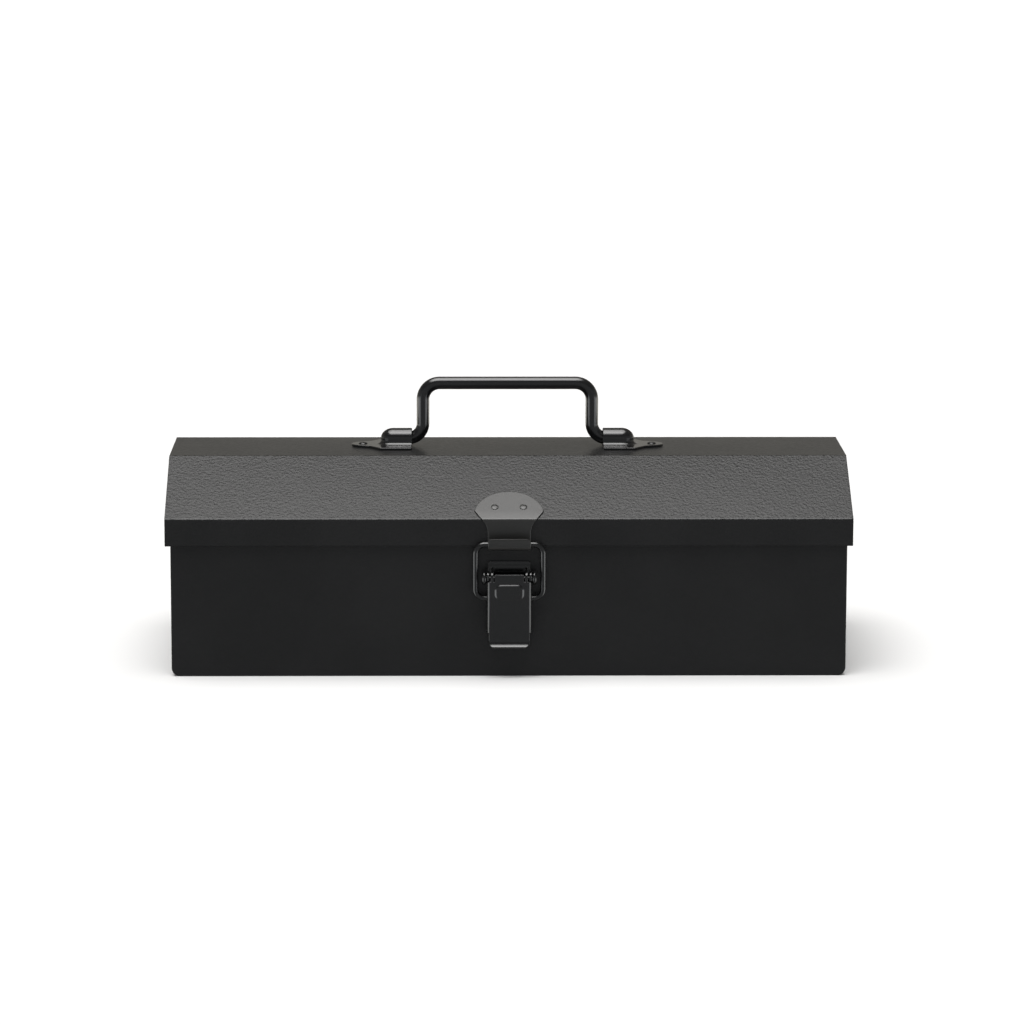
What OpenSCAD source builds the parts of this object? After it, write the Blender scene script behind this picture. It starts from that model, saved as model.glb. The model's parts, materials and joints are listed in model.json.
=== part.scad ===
// Camber-top steel toolbox: a welded sheet-steel box with a raised, sloped lid,
// two back hinges, a swing handle in pressed brackets and a wire draw latch.
//
// Frame: +Z up, +X across the front, the front faces -Y. The origin is the
// middle of the bottom face, on the floor. All lengths are millimetres.

/* [Body] */
// Width of the body over its end walls
body_w = 359; // [250:1:460]
// Depth of the body over its front and back walls
body_d = 150; // [110:1:200]
// Height of the body's open rim
body_h = 84.6; // [76:0.1:130]
// Thickness of the sheet steel
sheet = 0.8; // [0.6:0.1:1.2]
// Outside radius of the two bottom corners, seen from the front
corner_r = 4.4; // [2:0.1:8]
// Outside radius of the small bends along the upright corners
edge_r = 1.6; // [1.4:0.1:2.5]
// Width of the weld flanges behind the front and back walls
flange_w = 15; // [10:1:20]
// Height of the hem folded inwards round the rim
hem_h = 8; // [5:0.5:12]

/* [Lid] */
// Gap between the body's walls and the lid's skirt
lid_gap = 2; // [1.7:0.1:3]
// How far the lid's skirt hangs below the body's rim
lid_overlap = 14; // [8:0.1:20]
// Height of the lid's upright skirt
skirt_h = 14.7; // [12:0.1:24]
// Rise of the sloped faces, from the skirt to the flat top
slope_rise = 26.7; // [15:0.1:40]
// Depth of the flat top, front to back
top_d = 63.2; // [50:0.1:80]
// Height of the hem folded inwards round the skirt
lid_hem_h = 6; // [4:0.5:9]
// Width of the end panels' weld flanges under the lid's sheet
lid_flange_w = 10; // [6:1:14]

/* [Handle] */
// Diameter of the handle's round rod
rod_d = 6.9; // [5:0.1:8]
// Distance between the centre lines of the handle's two legs
handle_span = 92; // [80:1:130]
// Height of the grip's centre line above the pivot line
handle_rise = 30.3; // [26:0.1:45]
// Bend radius at the grip's two corners, to the rod's centre line
grip_bend_r = 9; // [7:0.5:14]
// Bend radius where the legs turn out into the feet
foot_bend_r = 8; // [6:0.5:9]
// Gap between the handle's feet and the lid's top
foot_lift = 1.05; // [0.5:0.05:2]

/* [Handle brackets] */
// Thickness of the pressed bracket
bracket_t = 1.5; // [1:0.1:2]
// Gap between the handle's foot and the bracket's dome
bracket_play = 0.55; // [0.3:0.05:0.8]
// Length of the dome's straight part
dome_len = 13.5; // [10:0.5:18]
// Depth of the bracket's flange, front to back
bracket_d = 31.4; // [26:0.1:36]
// Length of the flange's full-width part
bracket_w = 18.2; // [14:0.1:22]
// How far the tongue reaches past the full-width part
tongue_len = 14.7; // [12:0.1:20]

/* [Keeper] */
// Thickness of the keeper plate
keeper_t = 1; // [0.8:0.1:1.4]
// Radius of the keeper's round head
head_r = 18.6; // [16:0.1:22]
// Height of the head's centre above the skirt's crease, along the slope
head_rise = 3.2; // [2:0.1:5]
// Width of the keeper at its neck and hook
neck_w = 22.7; // [19:0.1:24]
// How far the hook reaches below the skirt
hook_drop = 1.1; // [0.5:0.1:2]
// Inside radius of the hook's back bend
hook_back_r = 2.4; // [2:0.1:3]
// Inside radius of the hook's front bend
hook_front_r = 3.2; // [2.6:0.1:4]
// Height of the hook's lip over its underside
lip_h = 6.6; // [5:0.1:8]

/* [Latch] */
// Distance of the lever's pin below the lid's skirt
pin_drop = 16.1; // [15:0.1:20]
// Distance of the lever's pin in front of the body
pin_out = 7; // [6.6:0.1:8]
// Diameter of the lever's pin
pin_d = 3.2; // [2.6:0.1:3.6]
// Diameter of the pin's heads
pin_head_d = 7.2; // [6:0.1:8]
// Distance of the wire's feet below the pin
foot_drop = 11.3; // [10:0.1:13]
// Distance of the wire's feet behind the pin, past the dead centre
over_centre = 2; // [1:0.1:2.5]
// Diameter of the wire
wire_d = 2.9; // [2:0.1:3.2]
// Distance between the centre lines of the wire's two legs
wire_span = 35.8; // [34:0.1:40]
// Bend radius at the wire's corners, to its centre line
wire_bend_r = 5; // [4:0.1:6]
// Gap between the wire and the hook, so that they never overlap
wire_gap = 0.35; // [0.3:0.05:0.5]
// Width of the lever over its side walls
lever_w = 23.6; // [23:0.1:26]
// Thickness of the lever's sheet
lever_t = 1.1; // [0.8:0.1:1.3]
// Length of the lever below the pin
lever_len = 37.3; // [34:0.1:44]
// Width of the lever's lip
lever_lip_w = 21.6; // [19:0.1:22]
// Thickness of the latch's base plate
base_t = 1; // [0.8:0.1:1.2]
// Width of the base plate
base_w = 22.3; // [21:0.1:23]
// Distance between the outer faces of the base's two ears
ears_w = 19.4; // [18:0.1:19.6]

/* [Hinges] */
// Distance of each hinge from the middle of the back
hinge_x = 105; // [60:1:115]
// Length of each hinge
hinge_len = 44; // [36:1:60]
// Thickness of the hinge leaves
leaf_t = 1.2; // [1:0.1:1.4]
// Diameter of the hinge pins
hinge_pin_d = 2.6; // [2.4:0.1:3]
// Height of the leaf fastened to the body
body_leaf_h = 24; // [20:1:30]
// Angle at which the hinges' stops hold the open lid
lid_open = 105; // [90:1:110]

/* [Rivets] */
// Shank diameter of the rivets
rivet_d = 3; // [2.4:0.1:3.4]
// Head diameter of the rivets
rivet_head_d = 5; // [4.4:0.1:6]
// Height of the rivets' heads and tails
rivet_head_h = 0.9; // [0.6:0.1:1.2]

/* [Fits] */
// Radial gap of each turning pin, foot or wire in its hole
running = 0.06; // [0.02:0.01:0.1]
// Radial gap of each fixed pin or rivet in its hole
snug = 0.02; // [0.01:0.01:0.05]
// Gap between pieces that pass each other
clear = 0.3; // [0.2:0.05:0.5]

/* [Hidden] */
$fn = 48;

// How far a cut runs past the face it opens
past = 1;

// Heights and half sizes of the lid
skirt_z = body_h - lid_overlap;
crease_z = skirt_z + skirt_h;
top_z = crease_z + slope_rise;
lid_x = body_w / 2 + lid_gap + sheet;
lid_y = body_d / 2 + lid_gap + sheet;
slope_run = lid_y - top_d / 2;
slope_angle = atan2(slope_rise, slope_run);

// Handle and brackets: mouth_x is where the domes begin
rod_r = rod_d / 2;
pivot_z = top_z + foot_lift + rod_r;
leg_x = handle_span / 2;
mouth_x = leg_x + foot_bend_r - 2;
dome_in_r = rod_r + bracket_play;
dome_out_r = dome_in_r + bracket_t;
dome_end_x = mouth_x + dome_len;
foot_end_x = dome_end_x - 0.5;
tongue_x = mouth_x + bracket_w + tongue_len;
tongue_r = 6.8;
flange_corner_r = 1.5;
shoulder = [4.5, 3];
tongue_rivet_x = tongue_x - tongue_r + 0.6;

// Latch, in the plane seen from the side: u runs forward from the body's
// front face, and z runs up
skirt_u = lid_gap + sheet;
hook_z = skirt_z - hook_drop;
hook_in_z = hook_z + keeper_t;
hook_in_u = skirt_u + keeper_t;
hook_flat = 2;
lip_u = hook_in_u + hook_back_r + hook_flat + hook_front_r;
lip_corner_r = 2.1;
pin_z = skirt_z - pin_drop;
pin_r = pin_d / 2;
wire_r = wire_d / 2;
foot_u = pin_out - over_centre;
foot_z = pin_z - foot_drop;
bar_u = hook_in_u + hook_back_r + 0.2;
bar_z = hook_in_z + wire_gap + wire_r;
wire_len = norm([bar_u - foot_u, bar_z - foot_z]);
wire_lean = atan2(bar_u - foot_u, bar_z - foot_z);
wire_x = wire_span / 2;
wire_end_x = ears_w / 2 - 0.5;

// Lever, beside its pin: web_u is its outer face
web_u = pin_out + 3.5;
ear_r = 3.9;
tab_top_z = pin_z + 2;
tab_w = 15.2;
notch_z = pin_z - 4.6;
bend_z = pin_z - 16.6;
belly_r = 40;
belly_angle = 22;
flare_angle = 50;
belly_end = [web_u - belly_r * (1 - cos(belly_angle)), bend_z - belly_r * sin(belly_angle)];
flare_r = (belly_end[1] - (pin_z - lever_len)) / (sin(belly_angle) + sin(flare_angle));
side_end_z = pin_z - 29.9;
panel_low = [-7.5, pin_z - 11.5];
panel_high = [7.5, pin_z - 2.8];
panel_r = 3;
panel_proud = 0.6;

// Base plate of the latch
base_top_z = pin_z + 7.9;
base_end_z = pin_z - 20;
step_z = pin_z + 5.4;
step_u = 0.8;
base_ear_r = 4;
base_ear_t = 1.2;
base_rivet_z = [pin_z - 7.5, pin_z - 16.5];

// Hinges: the pins' line, and the knuckles round it
knuckle_r = hinge_pin_d / 2 + leaf_t;
axis_y = lid_y + knuckle_r;
axis_z = skirt_z - 1.7;
middle_len = hinge_len / 3;
leaf_gap = 0.4;
stop_len = 2;
stop_from = 60;
stop_arc = 60;
stop_slack = 1.5;
jog_z = axis_z - 8;
jog_h = 4;
leaf_rivet_x = hinge_len / 2 - 7;
body_rivet_z = jog_z - body_leaf_h + 11;
lid_rivet_z = skirt_z + lid_hem_h + rivet_head_d / 2 + 2 * clear;
lid_leaf_top_z = lid_rivet_z + rivet_head_d / 2 + 0.8;

// Keeper: its neck widens over neck_rise, in a hollow of radius neck_r, and its
// head ends in small round tips beside the neck
neck_rise = 8.3;
neck_r = 11.3;
head_tip = [head_r - 1.4, head_rise + 3.3];
head_tip_r = 1.2;

// Rivets through the lid's slope that hold the keeper
keeper_rivet_x = 7.6;
keeper_rivet_s = 9;
keeper_rivet_head_d = 4;

// ---------------------------------------------------------------- outlines

function unit(v) = v / norm(v);
function left_of(v) = [-v[1], v[0]];

// Point i of a path, moved to the path's left by t, mitred at bends.
function beside(path, i, t) =
    let (
        n = len(path),
        a = i > 0 ? left_of(unit(path[i] - path[i - 1])) : undef,
        b = i < n - 1 ? left_of(unit(path[i + 1] - path[i])) : undef
    )
    is_undef(a) ? path[i] + t * b :
    is_undef(b) ? path[i] + t * a :
    path[i] + t * (a + b) / (1 + a * b);

// A sheet of thickness t, bent along a path, on the path's left.
function bent(path, t) =
    concat(path, [for (i = [len(path) - 1:-1:0]) beside(path, i, t)]);

// Points of an arc about a centre, from angle a to angle b.
function arc(centre, r, a, b, n = 8) =
    [for (i = [0:n]) centre + r * [cos(a + (b - a) * i / n), sin(a + (b - a) * i / n)]];

// The same outline, mirrored left to right and joined to itself.
function both_sides(half) =
    concat(half, [for (i = [len(half) - 1:-1:0]) [-half[i][0], half[i][1]]]);

// A rectangle from its low to its high corner, with rounded corners.
function round_rect(low, high, r, n = 6) = concat(
    arc([high[0] - r, high[1] - r], r, 0, 90, n),
    arc([low[0] + r, high[1] - r], r, 90, 180, n),
    arc([low[0] + r, low[1] + r], r, 180, 270, n),
    arc([high[0] - r, low[1] + r], r, 270, 360, n));

// ----------------------------------------------------------------- helpers

// Extrudes an outline drawn as (y, z) along X, over width w about x.
module along_x(w, x = 0) {
    translate([x - w / 2, 0, 0])
        rotate([90, 0, 90])
            linear_extrude(w) children();
}

// Extrudes an outline drawn as (x, z) along Y, from y to y + d.
module along_y(d, y) {
    translate([0, y + d, 0])
        rotate([90, 0, 0])
            linear_extrude(d) children();
}

// Extrudes an outline drawn as (u, z) across the latch, u forward of the body.
module latch_side(w, x = 0) {
    translate([0, -body_d / 2, 0])
        mirror([0, 1, 0]) along_x(w, x) children();
}

// A round bar along X.
module bar_x(r, w, x = 0, y = 0, z = 0) {
    translate([x - w / 2, y, z])
        rotate([0, 90, 0]) cylinder(r = r, h = w);
}

// A quarter bend of round rod in the XZ plane, about a centre.
module rod_bend(centre, bend_r, r, from) {
    translate([centre[0], 0, centre[1]])
        rotate([90, 0, 0]) rotate([0, 0, from])
            rotate_extrude(angle = 90) translate([bend_r, 0]) circle(r = r);
}

// A rivet with its head up at z = 0, through thickness grip below.
module rivet(grip, head_d = rivet_head_d) {
    head_r = head_d / 2;
    crown = [[0, -grip], [rivet_d / 2, -grip], [rivet_d / 2, 0], [head_r, 0],
        [head_r * 0.93, rivet_head_h * 0.55], [head_r * 0.6, rivet_head_h * 0.93],
        [0, rivet_head_h]];
    tail = [[0, -grip - rivet_head_h], [rivet_d / 2 + 0.6, -grip - rivet_head_h],
        [rivet_d / 2 + 0.8, -grip - 0.25], [rivet_d / 2 + 0.8, -grip], [0, -grip]];
    rotate_extrude() union() {
        polygon(crown);
        polygon(tail);
    }
}

// The hole for a rivet, past both faces of a sheet near z = 0.
module rivet_hole() {
    translate([0, 0, -6]) cylinder(r = rivet_d / 2 + snug, h = 12);
}

// Puts its children at the two rivets of the keeper, z along the slope's normal.
module at_keeper_rivets() {
    for (side = [-1, 1])
        on_slope() translate([side * keeper_rivet_x, keeper_rivet_s, 0]) children();
}

// The front slope's plane: x across, y up the slope from the crease, z outwards.
module on_slope() {
    translate([0, -lid_y, crease_z]) rotate([slope_angle, 0, 0]) children();
}

// Puts its children at the rivets of the latch's base, z pointing forward.
module at_base_rivets() {
    for (z = base_rivet_z)
        translate([0, -body_d / 2, z]) rotate([90, 0, 0]) children();
}

// Puts its children at both hinges' body rivets, z pointing backwards.
module at_hinge_body_rivets() {
    for (side = [-1, 1], edge = [-1, 1])
        translate([side * hinge_x + edge * leaf_rivet_x, body_d / 2, body_rivet_z])
            rotate([-90, 0, 0]) children();
}

// Puts its children at both hinges' lid rivets, z pointing backwards.
module at_hinge_lid_rivets() {
    for (side = [-1, 1], edge = [-1, 1])
        translate([side * hinge_x + edge * leaf_rivet_x, lid_y, lid_rivet_z])
            rotate([-90, 0, 0]) children();
}

// Puts its children at the rivets in the two brackets' tongues, z up.
module at_bracket_rivets() {
    for (side = [-1, 1])
        translate([side * tongue_rivet_x, 0, top_z]) children();
}

// ---------------------------------------------------------------- the body

// The box's outline from the front: flat rim, rounded bottom corners.
module front_outline(inset) {
    half_w = body_w / 2 - inset;
    r = corner_r - inset;
    polygon(concat([[half_w, body_h + past], [-half_w, body_h + past]],
        arc([-half_w + r, inset + r], r, 180, 270),
        arc([half_w - r, inset + r], r, 270, 360)));
}

// A solid block with the body's outline, inset from its outer faces.
module body_block(inset) {
    side_y = body_d / 2 - sheet - inset;
    r = edge_r - inset;
    intersection() {
        along_y(2 * side_y, -side_y) front_outline(inset);
        linear_extrude(body_h)
            polygon(round_rect([-body_w / 2 + inset, -side_y], [body_w / 2 - inset, side_y], r));
    }
}

module body_wrap() {
    hem_y = body_d / 2 - 2 * sheet - clear;
    color([0.11, 0.11, 0.12])
    union() {
        difference() {
            body_block(0);
            difference() {
                body_block(sheet);
                translate([-body_w, -body_d, -past]) cube([2 * body_w, 2 * body_d, past + sheet]);
            }
            translate([-body_w, -body_d, body_h - sheet]) cube([2 * body_w, 2 * body_d, past + sheet]);
            along_y(body_d + 2 * past, -body_d / 2 - past)
                polygon(round_rect([-body_w / 2 + flange_w, flange_w],
                    [body_w / 2 - flange_w, body_h + flange_w], corner_r));
            for (side = [-1, 1])
                translate([-body_w, side * body_d / 2 - 2 * edge_r, body_h - hem_h - clear])
                    cube([2 * body_w, 4 * edge_r, hem_h + past]);
        }
        for (side = [-1, 1])
            mirror([side < 0 ? 1 : 0, 0, 0])
                along_y(2 * hem_y, -hem_y)
                    hem_outline(body_w / 2);
    }
}

// A hem in section: the wall stands at x, and folds inwards and down.
module hem_outline(x) {
    polygon(concat(
        [[x - 2 * sheet, body_h - hem_h], [x - sheet, body_h - hem_h],
            [x - sheet, body_h - hem_h - past], [x, body_h - hem_h - past]],
        arc([x - sheet, body_h - sheet], sheet, 0, 180)));
}

// The front wall, with its hem. The back wall is the same piece, turned round.
module body_wall() {
    color([0.11, 0.11, 0.12])
    union() {
        intersection() {
            along_y(sheet, -body_d / 2) front_outline(0);
            translate([-body_w, -body_d, 0]) cube([2 * body_w, 2 * body_d, body_h - sheet]);
        }
        rotate([0, 0, -90])
            along_y(body_w - 4 * sheet - 2 * clear, -body_w / 2 + 2 * sheet + clear)
                hem_outline(body_d / 2);
    }
}

module body_front() {
    difference() {
        body_wall();
        at_base_rivets() rivet_hole();
    }
}

module body_back() {
    difference() {
        rotate([0, 0, 180]) body_wall();
        at_hinge_body_rivets() rivet_hole();
    }
}

// ----------------------------------------------------------------- the lid

// The lid's outline from the side, from its front skirt to its back one,
// inset from the outer faces and open at height low.
function lid_path(inset, low = skirt_z) =
    let (
        crease = crease_z - inset * tan((90 - slope_angle) / 2),
        top_y = top_d / 2 - inset * tan(slope_angle / 2)
    )
    [[-lid_y + inset, low], [-lid_y + inset, crease], [-top_y, top_z - inset],
        [top_y, top_z - inset], [lid_y - inset, crease], [lid_y - inset, low]];

// A skirt's hem in section: the wall stands at u = 0, and folds inwards and up.
function skirt_hem() = concat(
    arc([sheet, skirt_z + sheet], sheet, 180, 360),
    [[2 * sheet, skirt_z + lid_hem_h], [sheet, skirt_z + lid_hem_h],
        [sheet, skirt_z + lid_hem_h + past], [0, skirt_z + lid_hem_h + past]]);

module lid_shell() {
    color([0.26, 0.26, 0.25])
    difference() {
        union() {
            along_x(2 * lid_x) polygon(bent(lid_path(0, skirt_z + sheet), -sheet));
            for (turn = [0, 180])
                rotate([0, 0, turn]) translate([0, -lid_y, 0])
                    along_x(2 * lid_x) polygon(skirt_hem());
        }
        at_keeper_rivets() rivet_hole();
        at_bracket_rivets() rivet_hole();
        at_hinge_lid_rivets() rivet_hole();
    }
}

// The lid's end: a panel inside the shell's ends, with weld flanges and a hem.
module lid_end() {
    wall_x = lid_x - sheet;
    side_y = lid_y - 2 * sheet - clear;
    color([0.26, 0.26, 0.25])
    union() {
        difference() {
            along_x(lid_flange_w, lid_x - lid_flange_w / 2)
                polygon(lid_path(sheet));
            along_x(lid_flange_w, wall_x - lid_flange_w / 2)
                polygon(lid_path(2 * sheet));
            translate([0, -lid_y - past, skirt_z - past])
                cube([wall_x, 2 * lid_y + 2 * past, lid_hem_h + clear + past]);
            translate([0, -lid_y - past, skirt_z - past])
                cube([2 * lid_x, 2 * lid_y + 2 * past, sheet + past]);
            for (side = [-1, 1])
                translate([0, side * lid_y - 2 * sheet - clear, skirt_z - past])
                    cube([2 * lid_x, 4 * sheet + 2 * clear, lid_hem_h + clear + past]);
        }
        along_y(2 * side_y, -side_y)
            polygon(concat(arc([wall_x, skirt_z + sheet], sheet, 180, 360),
                [[lid_x, skirt_z + lid_hem_h], [wall_x - sheet, skirt_z + lid_hem_h]]));
    }
}

module lid_right_end() { lid_end(); }

module lid_left_end() { mirror([1, 0, 0]) lid_end(); }

// -------------------------------------------------------------- the handle

module handle() {
    grip_z = pivot_z + handle_rise;
    leg_low = pivot_z + foot_bend_r;
    leg_high = grip_z - grip_bend_r;
    color([0.08, 0.08, 0.09])
    union() {
        bar_x(rod_r, handle_span - 2 * grip_bend_r, 0, 0, grip_z);
        for (side = [-1, 1]) mirror([side < 0 ? 1 : 0, 0, 0]) {
            rod_bend([leg_x - grip_bend_r, leg_high], grip_bend_r, rod_r, 0);
            translate([leg_x, 0, leg_low]) cylinder(r = rod_r, h = leg_high - leg_low);
            rod_bend([leg_x + foot_bend_r, leg_low], foot_bend_r, rod_r, 180);
            bar_x(rod_r, foot_end_x - leg_x - foot_bend_r,
                (foot_end_x + leg_x + foot_bend_r) / 2, 0, pivot_z);
        }
    }
}

// Half of the dome's outline in section: a wall of radius r under a half round.
function dome_half(r, rise) =
    concat([[0, 0], [r, 0]], arc([0, rise], r, 0, 90, 12));

// A dome of radius r that begins at x and ends in a rounded nose.
module dome(r, x, bottom) {
    rise = pivot_z - bottom;
    translate([0, 0, bottom]) {
        along_x(dome_end_x - x, (dome_end_x + x) / 2)
            polygon(both_sides(dome_half(r, rise)));
        translate([dome_end_x, 0, 0]) rotate([0, 0, -90])
            rotate_extrude(angle = 180) polygon(dome_half(r, rise));
    }
}

// The flange's outline from above: a full-width part and a rounded tongue.
module bracket_outline() {
    half = bracket_d / 2;
    wide_x = mouth_x + bracket_w;
    tip = [tongue_x - tongue_r, 0];
    front = concat(
        [[mouth_x + 0.5, 0], [mouth_x + 0.5, half]],
        arc([wide_x - flange_corner_r, half - flange_corner_r], flange_corner_r, 90, 25, 4),
        [[wide_x, tongue_r] + shoulder],
        arc(tip, tongue_r, 78, 0, 8));
    polygon(concat(front, [for (i = [len(front) - 2:-1:1]) [front[i][0], -front[i][1]]]));
}

module handle_bracket() {
    color([0.08, 0.08, 0.09])
    difference() {
        union() {
            translate([0, 0, top_z]) linear_extrude(bracket_t) bracket_outline();
            dome(dome_out_r, mouth_x, top_z);
        }
        dome(dome_in_r, mouth_x - past, top_z - past);
        at_bracket_rivets() rivet_hole();
    }
}

module right_handle_bracket() { handle_bracket(); }

module left_handle_bracket() { mirror([1, 0, 0]) handle_bracket(); }

module bracket_rivets() {
    color([0.08, 0.08, 0.09])
        at_bracket_rivets() translate([0, 0, bracket_t]) rivet(bracket_t + sheet);
}

// -------------------------------------------------------------- the keeper

// The head's outline on the slope, from the crease up.
module keeper_head_outline() {
    low_w = keeper_neck_x(crease_z);
    half = concat([[low_w, -0.3], [low_w, 0]],
        arc(head_tip, head_tip_r, -35, 8, 4),
        arc([0, head_rise], head_r, 14, 90, 12));
    polygon(both_sides(half));
}

// Half the keeper's width at height z on the skirt: it widens to the head.
function keeper_neck_x(z) =
    let (rise = max(0, z - (crease_z - neck_rise)))
    neck_w / 2 + neck_r - sqrt(neck_r * neck_r - rise * rise);

module keeper_plate() {
    neck_zs = [for (i = [0:8]) crease_z - neck_rise * (1 - i / 8)];
    back = hook_in_u + hook_back_r;
    front = back + hook_flat;
    hook_path = concat(
        [[skirt_u - 2 * cos(slope_angle), crease_z + 2 * sin(slope_angle)], [skirt_u, crease_z]],
        arc([back, hook_in_z + hook_back_r], hook_back_r + keeper_t, 180, 270),
        arc([front, hook_in_z + hook_front_r], hook_front_r + keeper_t, 270, 360));
    color([0.24, 0.24, 0.24])
    difference() {
        union() {
            on_slope() linear_extrude(keeper_t) keeper_head_outline();
            intersection() {
                latch_side(2 * head_r) polygon(bent(hook_path, keeper_t));
                along_y(lip_u * 2 + 10, -body_d / 2 - lip_u - 10)
                    polygon(both_sides(concat(
                        [[neck_w / 2, hook_z - past]],
                        [for (z = neck_zs) [keeper_neck_x(z), z]],
                        [[keeper_neck_x(crease_z), crease_z + 2]])));
            }
            along_y(keeper_t, -body_d / 2 - lip_u - keeper_t)
                polygon(both_sides(concat(
                    [[neck_w / 2, hook_in_z + hook_front_r - 0.5]],
                    arc([neck_w / 2 - lip_corner_r, hook_z + lip_h - lip_corner_r],
                        lip_corner_r, 0, 90, 6))));
        }
        at_keeper_rivets() rivet_hole();
    }
}

module keeper_rivets() {
    color([0.24, 0.24, 0.24])
        at_keeper_rivets() translate([0, 0, keeper_t])
            rivet(keeper_t + sheet, keeper_rivet_head_d);
}

// --------------------------------------------------------------- the latch

module latch_base() {
    ear_x = ears_w / 2 - base_ear_t / 2;
    path = [[base_t, base_top_z], [base_t, step_z + 0.6], [base_t + step_u, step_z - 0.6],
        [base_t + step_u, pin_z + 1], [base_t, pin_z - 1], [base_t, base_end_z]];
    color([0.1, 0.1, 0.11])
    difference() {
        union() {
            intersection() {
                latch_side(base_w) polygon(bent(path, -base_t));
                along_y(step_u + base_t + 2, -body_d / 2 - step_u - base_t - 1)
                    polygon(round_rect([-base_w / 2, base_end_z], [base_w / 2, base_top_z], 1.2));
            }
            for (side = [-1, 1])
                latch_side(base_ear_t, side * ear_x)
                    polygon(concat([[base_t / 2, pin_z - base_ear_r - 1.5]],
                        arc([pin_out, pin_z], base_ear_r, -75, 100, 16),
                        [[base_t / 2 + step_u, pin_z + base_ear_r + 0.6]]));
        }
        bar_x(pin_r + snug, base_w + 2 * past, 0, -body_d / 2 - pin_out, pin_z);
        at_base_rivets() rivet_hole();
    }
}

module latch_base_rivets() {
    color([0.1, 0.1, 0.11])
        at_base_rivets() translate([0, 0, base_t]) rivet(base_t + sheet);
}

module latch_pin() {
    head_x = lever_w / 2 + 0.2;
    head_h = 2.5;
    dome_h = 1.6;
    half = [[pin_r, 0], [pin_r, head_x], [pin_head_d / 2, head_x],
        [pin_head_d / 2, head_x + head_h - dome_h],
        [pin_head_d / 2 * 0.85, head_x + head_h - dome_h * 0.45],
        [pin_head_d / 2 * 0.5, head_x + head_h - dome_h * 0.1], [0, head_x + head_h]];
    color([0.16, 0.16, 0.17])
        translate([0, -body_d / 2 - pin_out, pin_z]) rotate([0, 90, 0])
            rotate_extrude()
                polygon(concat(half, [for (i = [len(half) - 1:-1:1]) [half[i][0], -half[i][1]]]));
}

// The lever's outer face from the side: a straight web, a belly and a flared lip.
function lever_path(top) = concat(
    [[web_u, top]],
    arc([web_u - belly_r, bend_z], belly_r, 0, -belly_angle, 6),
    [for (i = [1:8]) let (a = -belly_angle + (flare_angle + belly_angle) * i / 8)
        [belly_end[0] + flare_r * (cos(belly_angle) - cos(a)),
            belly_end[1] - flare_r * (sin(a) + sin(belly_angle))]]);

// One side wall of the lever: an ear round the pin, and a long tapering skirt.
module lever_side() {
    front = [for (p = lever_path(pin_z)) if (p[1] > side_end_z) [p[0], p[1]]];
    polygon(concat(front,
        [[belly_end[0] - lever_t, side_end_z], [foot_u - 2.8, pin_z - 17.5], [foot_u - 3, foot_z + 3]],
        arc([pin_out, pin_z], ear_r, 180, 26, 14)));
}

module latch_lever() {
    side_x = lever_w / 2 - lever_t / 2;
    color([0.1, 0.1, 0.11])
    difference() {
        union() {
            intersection() {
                latch_side(lever_w) polygon(bent(lever_path(tab_top_z), -lever_t));
                lever_front();
            }
            for (side = [-1, 1])
                latch_side(lever_t, side * side_x) lever_side();
            along_y(panel_proud + lever_t / 2, -body_d / 2 - web_u - panel_proud)
                polygon(round_rect(panel_low, panel_high, panel_r));
        }
        bar_x(pin_r + running, lever_w + 2 * past, 0, -body_d / 2 - pin_out, pin_z);
        bar_x(wire_r + running, lever_w + 2 * past, 0, -body_d / 2 - foot_u, foot_z);
    }
}

// The lever's outline from the front: notched beside its tab, narrower at its lip.
module lever_front() {
    half_w = lever_w / 2;
    lip_x = lever_lip_w / 2;
    low_z = pin_z - lever_len - past;
    along_y(web_u + 10, -body_d / 2 - web_u - 9)
        polygon(both_sides(concat(
            [[lip_x - 2.4, low_z], [lip_x - 2.4, pin_z - lever_len]],
            arc([lip_x - 2.4, pin_z - lever_len + 2.4], 2.4, -90, 0, 6),
            [[lip_x, side_end_z - 0.8], [half_w, side_end_z], [half_w, notch_z],
                [tab_w / 2, notch_z], [tab_w / 2, tab_top_z + past]])));
}

module latch_wire() {
    foot_x = wire_x - wire_bend_r;
    color([0.3, 0.3, 0.31])
    translate([0, -body_d / 2 - foot_u, foot_z]) rotate([wire_lean, 0, 0])
    union() {
        bar_x(wire_r, 2 * foot_x, 0, 0, wire_len);
        for (side = [-1, 1]) mirror([side < 0 ? 1 : 0, 0, 0]) {
            rod_bend([foot_x, wire_len - wire_bend_r], wire_bend_r, wire_r, 0);
            translate([wire_x, 0, wire_bend_r])
                cylinder(r = wire_r, h = wire_len - 2 * wire_bend_r);
            rod_bend([foot_x, wire_bend_r], wire_bend_r, wire_r, 270);
            bar_x(wire_r, foot_x - wire_end_x, (foot_x + wire_end_x) / 2);
        }
    }
}

// -------------------------------------------------------------- the hinges

// A ring sector round the hinge's line, along X from x, from angle a over arc b,
// where angle 0 points down, 90 points backwards, and the lid opens towards less.
module knuckle_sector(x, w, a, b) {
    translate([x, axis_y, axis_z]) rotate([0, 90, 0]) rotate([0, 0, a])
        rotate_extrude(angle = b)
            translate([hinge_pin_d / 2 + snug, 0]) square([knuckle_r - hinge_pin_d / 2 + past, w]);
}

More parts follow.
